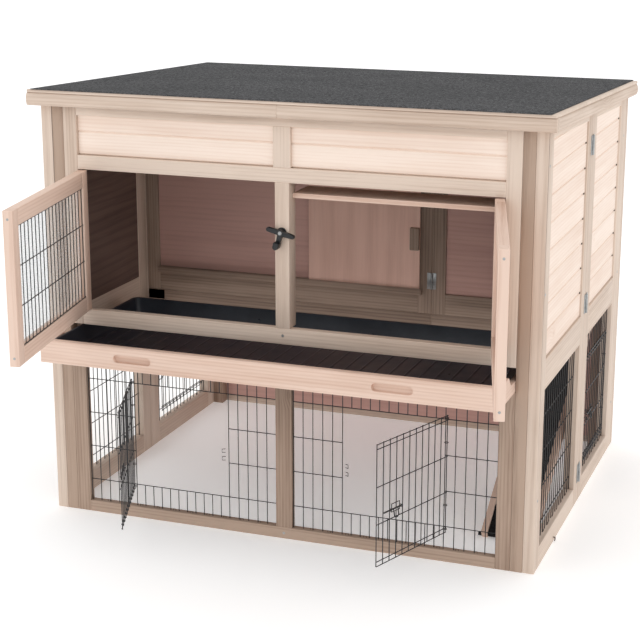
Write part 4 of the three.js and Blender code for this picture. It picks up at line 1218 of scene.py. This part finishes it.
class HUTCH_OT_doors(bpy.types.Operator):
    """Make the two doors of the house and their hinges"""

    bl_idname = "hutch.doors"
    bl_label = "House doors"

    def execute(self, context):
        for side, s in SIDES:
            place = swung(f"{side}_door_hinge")
            self.leaf(side, s, place)
            self.hinges(side, s, place)
        self.mesh_and_pane(swung("left_door_hinge"))
        self.boards(swung("right_door_hinge"))
        return {"FINISHED"}

    def field(self, side, place):
        return box_in("left_door_pane" if side == "left" else "right_door_boards", place)

    def leaf(self, side, s, place):
        """Stiles and rails, hung on the front corner of the hinge stile."""
        ease = bpy.context.scene.hutch_sizes.edge_round
        node = f"{side}_door_frame"
        low, high = box_in(node, place)
        inner_low, inner_high = self.field(side, place)
        near, far = sorted((abs(inner_low.x), abs(inner_high.x)))
        near, far, reach = near - GAP, far + GAP, max(abs(low.x), abs(high.x))
        rail, head = inner_low.z - GAP, inner_high.z + GAP
        hinge_edge = min(abs(low.x), abs(high.x))
        stock = Stock(91 + s)
        for ends in ((-s * hinge_edge, -s * near), (-s * far, -s * reach)):
            left, right = sorted(ends)
            stock.plank((left, low.y, low.z), (right, high.y, high.z), Z, place, ease=ease)
        left, right = sorted((-s * near, -s * far))
        stock.plank((left, low.y, low.z), (right, high.y, rail), X, place, ease=ease)
        stock.plank((left, low.y, head), (right, high.y, high.z), X, place, ease=ease)
        stock.piece(f"{node}_timber", f"{side}_door", "natural_pine", "natural_pine", [node])

        screws = Stock(95)
        for z in (low.z + (rail - low.z) / 2, head + (high.z - head) / 2):
            edge = Vector((-s * (reach - 0.0012), (low.y + high.y) / 2, z))
            screws.add(rod(edge, X * -s * 0.0016, 0.0034, 14, tip=0.0024), place=place, smooth=True)
        screws.piece(f"{side}_door_screws", f"{side}_door", "zinc")

    def hinges(self, side, s, place):
        """Butt hinges let in at the corner that the leaf turns on; only their rolled edges show."""
        low, high = box_in(f"{side}_door_frame", place)
        barrel, tall, from_end, sheet, plate = 0.0021, 0.042, 0.055, 0.0008, 0.014
        stock = Stock(96)
        for foot in (low.z + from_end, high.z - from_end - tall):
            for k in range(3):
                start = place @ Vector((0, -barrel * 0.4, foot + tall * k / 3))
                stock.add(rod(start, Z * (tall / 3 - GAP), barrel, 12), smooth=True)
            ends = sorted((-s * 0.0001, -s * sheet * 0.5))
            stock.plank((ends[0], 0.0008, foot), (ends[1], plate, foot + tall), Z, place, ease=0)
        stock.piece(f"{side}_door_hinges", f"{side}_door", "zinc")

    def mesh_and_pane(self, place):
        sizes = bpy.context.scene.hutch_sizes
        low, high = box_in("left_door_mesh", place)
        radius = sizes.wire_diameter / 2
        middle = (low.y + high.y) / 2
        panel = Panel((0, middle, 0), X, Y)
        places = spaced(low.x + radius, high.x - radius, sizes.wire_pitch)
        tuck = 0.002
        panel.uprights(places, low.z - tuck, high.z + tuck)
        levels = spaced(low.z, high.z, (high.z - low.z) / 3)
        panel.cross(low.x - tuck, high.x + tuck, [levels[0] + radius, *levels[1:-1], levels[-1] - radius])
        panel.stock.points = [place @ p for p in panel.stock.points]
        node = "left_door_mesh"
        panel.stock.piece(f"{node}_wires", "left_door", "black_wire", "black_wire", [node])
        pane = Stock(97).add(cad_shape("left_door_pane", 0.0004, place), X, place)
        pane.piece("left_door_clear_pane", "left_door", "clear_pane", "clear_pane", ["left_door_pane"])

    def boards(self, place):
        low, high = box_in("right_door_boards", place)
        stock = Stock(98)
        corner = Vector((low.x, low.y, low.z))
        boarding(stock, corner, -Y, X * (high.x - low.x), high.z - low.z, 99, (Vector((0, 0, high.z)), Z))
        stock.points = [place @ p for p in stock.points]
        node = "right_door_boards"
        stock.piece(f"{node}_timber", "right_door", "natural_pine", "natural_pine", [node])


class HUTCH_OT_latch(bpy.types.Operator):
    """Make the turn latch on the centre post"""

    bl_idname = "hutch.latch"
    bl_label = "Turn latch"

    def execute(self, context):
        pivot = Vector(joint("latch_turn")["pos_m"])
        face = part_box("upper_front_frame")[0].y
        tilt = math.radians(14)
        place = Matrix.Translation((pivot.x, face - GAP, pivot.z)) @ Matrix.Rotation(tilt, 4, "Y")
        stock = Stock(101)
        hub, wing, height, washer, arms_at, pad_at = 0.0105, 0.0323, 0.0058, 0.0028, 0.0038, 0.0046
        stock.add(rod((0, 0, 0), -Y * washer, hub, 28), place=place, smooth=True)
        boss = rod((0, -washer, 0), -Y * 0.0105, hub * 0.78, 28, tip=hub * 0.68)
        stock.add(boss, place=place, smooth=True)
        for s in (-1, 1):
            tip = arc((s * (wing - height * 0.8), 0, 0), X * s, Z, height * 0.8, -90, 90, 8)
            outline = [Vector((0, 0, -height)), *tip, Vector((0, 0, height))]
            outline = [Vector((p.x, -arms_at, p.z)) for p in outline]
            stock.add(prism(outline, -Y * 0.0088, 0.0011), place=place)
        neck, grip, long = 0.0048, 0.0064, 0.033
        corners = ((-neck, 0), (neck, 0), (neck, -long * 0.66), (-neck, -long * 0.66))
        stalk = [Vector((x, -arms_at, z)) for x, z in corners]
        stock.add(prism(stalk, -Y * 0.0092, 0.0011), place=place)
        end = arc((0, 0, -long + 0.004), X, Z, grip, 200, 340, 6)
        outline = [(p.x, p.z) for p in end] + [(grip, -long * 0.6), (-grip, -long * 0.6)]
        pad = [Vector((x, -pad_at, z)) for x, z in outline]
        stock.add(prism(pad, -Y * 0.0195, 0.0018), place=place)
        stock.piece("turn_latch_moulding", "latch", "latch_plastic", "black_plastic", ["turn_latch"])

        screw = Stock(102)
        head = -0.0133
        screw.add(rod((0, head, 0), -Y * 0.0016, 0.0046, 20, tip=0.0032), place=place, smooth=True)
        for turn in (0.6, 0.6 + math.pi / 2):
            slot = Vector((math.cos(turn), 0, math.sin(turn)))
            start = Vector((0, head - 0.00162, 0)) - slot * 0.0021
            screw.add(rod(start, slot * 0.0042, 0.00035, 6), place=place)
        screw.piece("latch_screw", "latch", "zinc")
        return {"FINISHED"}


# ---- Drawer --------------------------------------------------------------------------------------------


class HUTCH_OT_drawer(bpy.types.Operator):
    """Make the drawer and its litter tray"""

    bl_idname = "hutch.drawer"
    bl_label = "Drawer and tray"

    def execute(self, context):
        ease = context.scene.hutch_sizes.edge_round
        front = Stock(111).add(cad_shape("drawer_front", ease), X)
        front.piece("drawer_front_timber", "drawer", "natural_pine", "natural_pine", ["drawer_front"])
        rest = (("drawer_side_left", Y), ("drawer_side_right", Y), ("drawer_back", X))
        for number, (node, along) in enumerate(rest):
            board = Stock(112 + number).add(cad_shape(node, ease * 0.7), along)
            board.piece(f"{node}_timber", "drawer", "natural_pine", "natural_pine", [node])
        self.tray()
        return {"FINISHED"}

    def tray(self):
        """A moulded tray: drafted walls with rounded corners, a rolled lip, and ribs across its floor."""
        low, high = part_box("drawer_tray")
        floor = low.z + 0.002
        corner, lip, wall, draft = 0.014, 0.006, 0.0018, 0.004
        middle = (low + high) / 2
        half_x, half_y = (high.x - low.x) / 2, (high.y - low.y) / 2
        rings = [
            (0.0012, high.z - 0.004),
            (0.0, high.z - 0.0008),
            (0.0012, high.z),
            (lip - 0.001, high.z),
            (lip, high.z - 0.0012),
            (lip + draft * 0.9, floor + 0.008),
            (lip + draft + 0.0022, floor + 0.0022),
            (lip + draft + 0.008, floor),
        ]
        under = [
            (lip + draft + 0.008, floor - wall),
            (lip + draft + 0.0008, floor + 0.0012),
            (lip - wall, high.z - 0.004),
            (0.0012, high.z - 0.004),
        ]
        shape = bmesh.new()
        loops = []
        for inset, z in rings + under:
            loops.append(self.rounded_loop(shape, middle, half_x - inset, half_y - inset, corner, z))
        for a, b in zip(loops, loops[1:] + loops[:1]):
            if a is loops[len(rings) - 1]:
                continue
            for i in range(len(a)):
                shape.faces.new((a[i - 1], a[i], b[i], b[i - 1]))
        shape.faces.new(loops[len(rings) - 1])
        shape.faces.new(loops[len(rings)])
        bmesh.ops.recalc_face_normals(shape, faces=shape.faces[:])
        stock = Stock(116).add(shape, X, smooth=True)

        margin, pitch, rib_half, rib_high = 0.03, 0.033, 0.0022, 0.0017
        foot, crown = rib_half * 1.6, rib_half * 0.6
        outline = [(-foot, 0), (-crown, rib_high), (crown, rib_high), (foot, 0)]
        first = Vector((middle.x - half_x + margin, middle.y - half_y + margin, floor - 0.0002))
        points = [first + Vector((x, 0, z)) for x, z in outline]
        template = Stock(117).add(prism(points, Y * (half_y - margin) * 2, 0.0005, segments=1), Y)
        places = spaced(first.x, middle.x + half_x - margin, pitch)
        stock.row(template, len(places), X * (places[1] - places[0]), 118, spread=0)
        stock.piece("drawer_tray_moulding", "drawer", "black_plastic", "black_plastic", ["drawer_tray"])

    def rounded_loop(self, shape, middle, half_x, half_y, corner, z):
        points = []
        for quarter, (sx, sy) in enumerate(((1, 1), (-1, 1), (-1, -1), (1, -1))):
            centre = (middle.x + sx * (half_x - corner), middle.y + sy * (half_y - corner), z)
            points += arc(centre, X, Y, corner, quarter * 90, quarter * 90 + 90, 5)
        return [shape.verts.new(p) for p in points]


# ---- Inside --------------------------------------------------------------------------------------------


class HUTCH_OT_inside(bpy.types.Operator):
    """Make the partition, the floors and the ledges inside the house"""

    bl_idname = "hutch.inside"
    bl_label = "Inside"

    def execute(self, context):
        ease = context.scene.hutch_sizes.edge_round
        for number, side in enumerate(("left", "right")):
            self.partition(side, number)
            ledge = Stock(121 + number).add(cad_shape(f"ledge_{side}", ease), Y)
            ledge.piece(f"ledge_{side}_timber", "hutch", "stained_timber", "dark_timber", [f"ledge_{side}"])
        floor = Stock(123).add(cad_shape("back_floor", 0.0006), X)
        floor.piece("back_floor_ply", "hutch", "brown_plywood", "brown_plywood", ["back_floor"])
        board = Stock(124).add(cad_shape("stop_board", ease), X)
        board.piece("stop_board_timber", "hutch", "natural_pine", "natural_pine", ["stop_board"])
        self.slide_door()
        self.hinge()
        return {"FINISHED"}

    def partition(self, side, number):
        low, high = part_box(f"partition_frame_{side}")
        panel_low, panel_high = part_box(f"partition_panel_{side}")
        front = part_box("partition_frame_right")[0].y
        left, right = panel_low.x - GAP, panel_high.x + GAP
        sill, head = panel_low.z - GAP, panel_high.z + GAP
        stock = Stock(125 + number)
        stock.plank((low.x, front, low.z), (left, high.y, high.z), Z)
        stock.plank((right, front, low.z), (high.x, high.y, high.z), Z)
        stock.plank((left, front, low.z), (right, high.y, sill), X)
        stock.plank((left, front, head), (right, high.y, high.z), X)
        stock.plank((low.x, front, low.z - SKIRT_DROP), (high.x, front + SKIRT_THICKNESS, low.z - GAP), X)
        if side == "left":
            self.track(stock, low, front)
        node = f"partition_frame_{side}"
        # Painted shade: the partition frame, track and skirt take the shade-darkened inside stain.
        stock.piece(f"{node}_timber", "hutch", "inside_stain", "stained_timber", [node])
        panel = Stock(127 + number).add(cad_shape(f"partition_panel_{side}", 0.0004), X)
        node = f"partition_panel_{side}"
        panel.piece(f"{node}_ply", "hutch", "brown_plywood", "brown_plywood", [node])

    def track(self, stock, low, front):
        """The grooved rail that the sliding door runs in."""
        door_low, door_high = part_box("slide_door")
        leaf_front = door_low.y + GRIP_DEPTH
        overlap, tall, stile, past_door, lip, groove_gap = 0.006, 0.015, 0.033, 0.005, 0.003, 0.001
        top, outer = door_low.z + overlap, low.y
        start, stop = low.x + stile - GAP, door_high.x + past_door
        lip_back, groove_floor = outer + lip, door_low.z - groove_gap
        behind_leaf, ease = 0.0055, 0.0006
        stock.plank((start, outer, top - tall), (stop, lip_back, top), X, ease=ease)
        stock.plank((start, lip_back, top - tall), (stop, front, groove_floor), X, ease=0)
        stock.plank((start, leaf_front + behind_leaf, groove_floor), (stop, front, top), X, ease=0)

    def slide_door(self):
        low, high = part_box("slide_door")
        leaf = Stock(129).plank((low.x, low.y + GRIP_DEPTH, low.z), high, Z, ease=0.0007)
        leaf.piece("slide_door_leaf", "passage_door", "sliding_plywood", "brown_plywood", ["slide_door"])
        corners = (v.co for v in frame["nodes"]["slide_door"].data.vertices)
        vertices = [v for v in corners if v.y < low.y + GRIP_DEPTH / 2]
        grip_low = [min(v[i] for v in vertices) for i in range(3)]
        grip_high = [max(v[i] for v in vertices) for i in range(3)]
        grip = Stock(130)
        grip.plank(grip_low, (grip_high[0], low.y + GRIP_DEPTH, grip_high[2]), Z, ease=0.002)
        # Painted shade: the grip takes the shade-darkened inside stain.
        grip.piece("slide_door_grip", "passage_door", "inside_stain", "stained_timber")

    def hinge(self):
        """The small hinge that joins the two partition panels."""
        joint_x = (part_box("partition_frame_left")[1].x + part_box("partition_frame_right")[0].x) / 2
        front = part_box("partition_frame_right")[0].y
        levels, knuckle_step, leaf_in, leaf_out, tall = (0.478, 0.845), 0.0098, 0.002, 0.011, 0.039
        stock = Stock(131)
        for level in levels:
            base = Vector((joint_x, front - 0.0018, level))
            knuckle = rod(base, Z * 0.0092, 0.0028, 12)
            stock.row(Stock(132).add(knuckle, smooth=True), 4, Z * knuckle_step, 133, spread=0)
            for way in (-1, 1):
                edges = sorted((joint_x + way * leaf_in, joint_x + way * leaf_out))
                near, far = (edges[0], front - 0.0011, level), (edges[1], front - 0.0001, level + tall)
                stock.add(block(near, far, 0.0003), Z)
        stock.piece("partition_hinges", "hutch", "zinc")


# ---- Ramp ----------------------------------------------------------------------------------------------


class HUTCH_OT_ramp(bpy.types.Operator):
    """Make the ramp: a gritted board between two rails, with a bar at its foot"""

    bl_idname = "hutch.ramp"
    bl_label = "Ramp"

    def execute(self, context):
        slope = abs(slope_of("ramp_board"))
        pivot = Vector(joint("ramp_pivot")["pos_m"])
        place = Matrix.Translation(pivot) @ Matrix.Rotation(slope, 4, "X")
        low, high = box_in("ramp_board", place)
        board = Stock(141)
        board.plank(low, high, Y, place, ease=0.0008)
        tread_pitch = 0.075
        first = low.y + tread_pitch
        half, sunk, proud = 0.005, 0.001, 0.0035
        foot = (low.x, first - half, high.z - sunk)
        cleat = block(foot, (high.x, first + half, high.z + proud), 0.001)
        count = int((high.y - first) / tread_pitch) + 1
        cleats = Stock(142).row(Stock(143).add(cleat, X), count, Y * tread_pitch, 144)
        cleats.points = [place @ p for p in cleats.points]
        board.piece("ramp_board_gritted", "ramp", "ramp_felt", "black_plastic", ["ramp_board"])
        cleats.piece("ramp_cleats", "ramp", "ramp_felt", "black_plastic")
        for side in ("left", "right"):
            node = f"ramp_rail_{side}"
            rail = Stock(145).plank(*box_in(node, place), Y, place)
            rail.piece(f"{node}_timber", "ramp", "natural_pine", "natural_pine", [node])
        rail_low = box_in("ramp_rail_left", place)[0]
        beyond, radius, under, from_end = 0.008, 0.004, 0.002, 0.004
        foot_level = rail_low.z + radius + under
        start = Vector((rail_low.x - beyond, rail_low.y + from_end, foot_level))
        run = X * (box_in("ramp_rail_right", place)[1].x - rail_low.x + beyond)
        foot = Stock(146).add(rod(start, run, radius, 12), place=place, smooth=True)
        foot.piece("ramp_foot_bar", "ramp", "latch_plastic", "black_plastic")
        return {"FINISHED"}


# ---- Roof ----------------------------------------------------------------------------------------------


class HUTCH_OT_roof(bpy.types.Operator):
    """Make the roof: board, felt and rounded trim"""

    bl_idname = "hutch.roof"
    bl_label = "Roof"

    def execute(self, context):
        lean = slope_of("roof_felt")
        place = Matrix.Rotation(-lean, 4, "X")
        board = Stock(151).add(cad_shape("roof_board", 0.0006, place), X, place)
        board.piece("roof_board_ply", "hutch", "stained_timber", "brown_plywood", ["roof_board"])
        self.felt(place)
        for number, side in enumerate(("left", "right")):
            for part, along in (("front_", X), ("", Y)):
                node = f"roof_trim_{part}{side}"
                trim = Stock(152 + number).add(cad_shape(node, 0.0008, place, segments=1), along, place)
                trim.piece(f"{node}_timber", "hutch", "stained_timber", "stained_timber", [node])
        return {"FINISHED"}

    def felt(self, place):
        """A sheet with softened edges that lies a little unevenly."""
        low, high = box_in("roof_felt", place)
        low.x, high.x = low.x + FELT_MARGIN, high.x - FELT_MARGIN
        shape = bmesh.new()
        swell, border = 0.0006, 0.05
        bmesh.ops.create_grid(shape, x_segments=60, y_segments=48, size=1)
        middle, half = (low + high) / 2, (high - low) / 2
        for vert in shape.verts:
            x, y = vert.co.x, vert.co.y
            across = math.sin(x * 9 + 1.3 * math.sin(y * 5))
            down = math.sin(y * 11 + 0.7 * math.sin(x * 7))
            inland = min(1.0, (1 - max(abs(x), abs(y))) / border)
            level = high.z - 2 * swell + swell * (across + down) * inland
            vert.co = Vector((middle.x + x * half.x, middle.y + y * half.y, level))
        below = bmesh.ops.extrude_face_region(shape, geom=shape.faces[:])
        for vert in (v for v in below["geom"] if isinstance(v, bmesh.types.BMVert)):
            vert.co.z = low.z
        bmesh.ops.recalc_face_normals(shape, faces=shape.faces[:])
        sheet = Stock(155).add(eased(shape, 0.0009, sharp=math.radians(60)), X, place, smooth=True)
        sheet.piece("roof_felt_sheet", "hutch", "roof_felt", "roof_felt", ["roof_felt"])


# ---- Screws --------------------------------------------------------------------------------------------


class HUTCH_OT_screws(bpy.types.Operator):
    """Make the countersunk screws in the frames, and the hook on the bottom rail"""

    bl_idname = "hutch.screws"
    bl_label = "Screws"

    def execute(self, context):
        sizes = context.scene.hutch_sizes
        radius = sizes.screw_diameter / 2
        stock = Stock(161)

        sunk, deep, recess_deep = 0.0009, 0.0012, 0.0002
        single = Z * 0.001

        def line(first, out, step, count):
            """A line of like screws, each with the recess for its driver."""
            head = rod(first - out * sunk, out * deep, radius, 16, tip=radius * 0.86)
            stock.row(Stock(162).add(head, smooth=True), count, step, 163, spread=0)
            recess = rod(first + out * recess_deep, out * recess_deep, radius * 0.32, 4)
            stock.row(Stock(164).add(recess), count, step, 165, spread=0)

        upper_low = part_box("upper_front_frame")[0]
        below_doors, over_ground = 0.0175, 0.013
        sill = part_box("left_door_frame")[0].z - below_doors
        line(Vector((0, upper_low.y, sill)), -Y, single, 1)
        lower_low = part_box("lower_front_frame")[0]
        line(Vector((0, lower_low.y, lower_low.z + over_ground)), -Y, single, 1)
        stile_levels, stile_middle, rear_shift = (0.16, 0.6, 0.86), 0.0125, 0.018
        for side, s in SIDES:
            face = (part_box("side_frame_right_front")[1] if s > 0 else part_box("side_frame_left_front")[0]).x
            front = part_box(f"side_frame_{side}_front")
            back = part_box(f"side_frame_{side}_back")
            for z in stile_levels:
                line(Vector((face, front[0].y + stile_middle, z)), X * s, single, 1)
            rear = (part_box(f"side_boards_{side}_back")[1].y + back[1].y) / 2
            line(Vector((face, rear + rear_shift, 0.12)), X * s, Z * 0.34, 3)
        wall_low, wall_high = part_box("back_frame")
        from_edge, rail_levels, from_stile = 0.022, (0.013, 0.415, 0.868), 0.15
        for x in (wall_low.x + from_edge, wall_high.x - from_edge):
            line(Vector((x, wall_high.y, 0.06)), Y, Z * 0.26, 4)
        for z in rail_levels:
            line(Vector((wall_low.x + from_stile, wall_high.y, z)), Y, X * 0.205, 5)
        stock.piece("frame_screws", "hutch", "zinc")
        self.hook()
        return {"FINISHED"}

    def hook(self):
        """A bent wire hook at the foot of the right side wall."""
        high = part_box("side_frame_right_front")[1]
        along, level, turn, wire = 0.175, 0.012, 0.004, 0.0012
        eye = Vector((high.x, along, level))
        bend = eye + X * turn
        points = [eye - X * turn / 2, bend, *arc(bend - Z * turn, Z, Y, turn, 0, 200, 8)]
        stock = Stock(166).add(bent(points, wire, 8), smooth=True)
        stock.piece("rail_hook", "hutch", "nail_steel")


# ---- Stage ---------------------------------------------------------------------------------------------


class HUTCH_OT_stage(bpy.types.Operator):
    """Set the pale floor, the soft lights and the camera"""

    bl_idname = "hutch.stage"
    bl_label = "Stage"

    def execute(self, context):
        scene = context.scene
        settings = scene.hutch_stage
        self.floor(settings)
        self.world(scene, settings)
        target, width = Vector((0, 0.35, 0.5)), 2.6
        self.light("key_light", Vector((-2.3, -3.0, 3.3)), target, width, settings.key_power)
        self.light("fill_light", Vector((3.6, -1.6, 2.2)), target, width, settings.fill_power)
        self.camera(scene, settings)
        scene.view_settings.view_transform = "Standard"
        return {"FINISHED"}

    def floor(self, settings):
        half = settings.floor_size / 2
        level = cad_box[0].z
        mesh = bpy.data.meshes.new("floor")
        corners = [(x * half, y * half, level) for x, y in ((-1, -1), (1, -1), (1, 1), (-1, 1))]
        mesh.from_pydata(corners, [], [(0, 1, 2, 3)])
        floor = bpy.data.objects.new("floor", mesh)
        bpy.context.scene.collection.objects.link(floor)
        s = Shade("pale_floor")
        drift = s.noise(s.node("ShaderNodeTexCoord").outputs["Object"], scale=0.6, detail=2)
        pale = tuple(settings.floor_colour)
        s.coat(
            Base_Color=s.mix(drift, pale, tuple(c * 0.985 for c in pale)),
            Roughness=0.9,
            Specular_IOR_Level=0.1,
            Emission_Color=(1, 1, 1),
            Emission_Strength=FLOOR_GLOW,
        )
        mesh.materials.append(s.material)

    def world(self, scene, settings):
        world = bpy.data.worlds.new("daylight")
        world.use_nodes = True
        background = world.node_tree.nodes["Background"]
        background.inputs["Color"].default_value = (1, 1, 1, 1)
        background.inputs["Strength"].default_value = settings.daylight
        scene.world = world

    def light(self, name, place, target, size, power):
        data = bpy.data.lights.new(name, "AREA")
        data.shape = "DISK"
        data.size = size
        data.energy = power
        lamp = bpy.data.objects.new(name, data)
        lamp.location = place
        lamp.rotation_euler = (target - place).to_track_quat("-Z", "Y").to_euler()
        bpy.context.scene.collection.objects.link(lamp)

    def camera(self, scene, settings):
        data = bpy.data.cameras.new("camera")
        data.lens = settings.lens
        camera = bpy.data.objects.new("camera", data)
        camera.location = CAMERA_PLACE
        camera.rotation_euler = (CAMERA_TILT, 0, CAMERA_TURN)
        scene.collection.objects.link(camera)
        scene.camera = camera


# ---- Panel and registration ----------------------------------------------------------------------------

OPERATORS = (
    HUTCH_OT_stage,
    HUTCH_OT_posts,
    HUTCH_OT_front,
    HUTCH_OT_sides,
    HUTCH_OT_fold_hinges,
    HUTCH_OT_back,
    HUTCH_OT_fixed_mesh,
    HUTCH_OT_wire_doors,
    HUTCH_OT_doors,
    HUTCH_OT_latch,
    HUTCH_OT_drawer,
    HUTCH_OT_inside,
    HUTCH_OT_ramp,
    HUTCH_OT_roof,
    HUTCH_OT_screws,
)


class HUTCH_PT_panel(bpy.types.Panel):
    """The hutch's pieces, in the order they are made"""

    bl_idname = "HUTCH_PT_panel"
    bl_label = "Rabbit Hutch"
    bl_space_type = "VIEW_3D"
    bl_region_type = "UI"
    bl_category = "Hutch"

    def draw(self, context):
        for operator in OPERATORS:
            self.layout.operator(operator.bl_idname)
        for group in (context.scene.hutch_sizes, context.scene.hutch_colours, context.scene.hutch_stage):
            box = self.layout.box()
            for name in group.__annotations__:
                box.prop(group, name)


CLASSES = (HutchColours, HutchSizes, HutchStage, *OPERATORS, HUTCH_PT_panel)


def register():
    for cls in CLASSES:
        bpy.utils.register_class(cls)
    bpy.types.Scene.hutch_colours = PointerProperty(type=HutchColours)
    bpy.types.Scene.hutch_sizes = PointerProperty(type=HutchSizes)
    bpy.types.Scene.hutch_stage = PointerProperty(type=HutchStage)


def unregister():
    del bpy.types.Scene.hutch_stage
    del bpy.types.Scene.hutch_sizes
    del bpy.types.Scene.hutch_colours
    for cls in reversed(CLASSES):
        bpy.utils.unregister_class(cls)


def main():
    register()
    for operator in OPERATORS:
        family, name = operator.bl_idname.split(".")
        getattr(getattr(bpy.ops, family), name)()


if __name__ == "__main__":
    main()
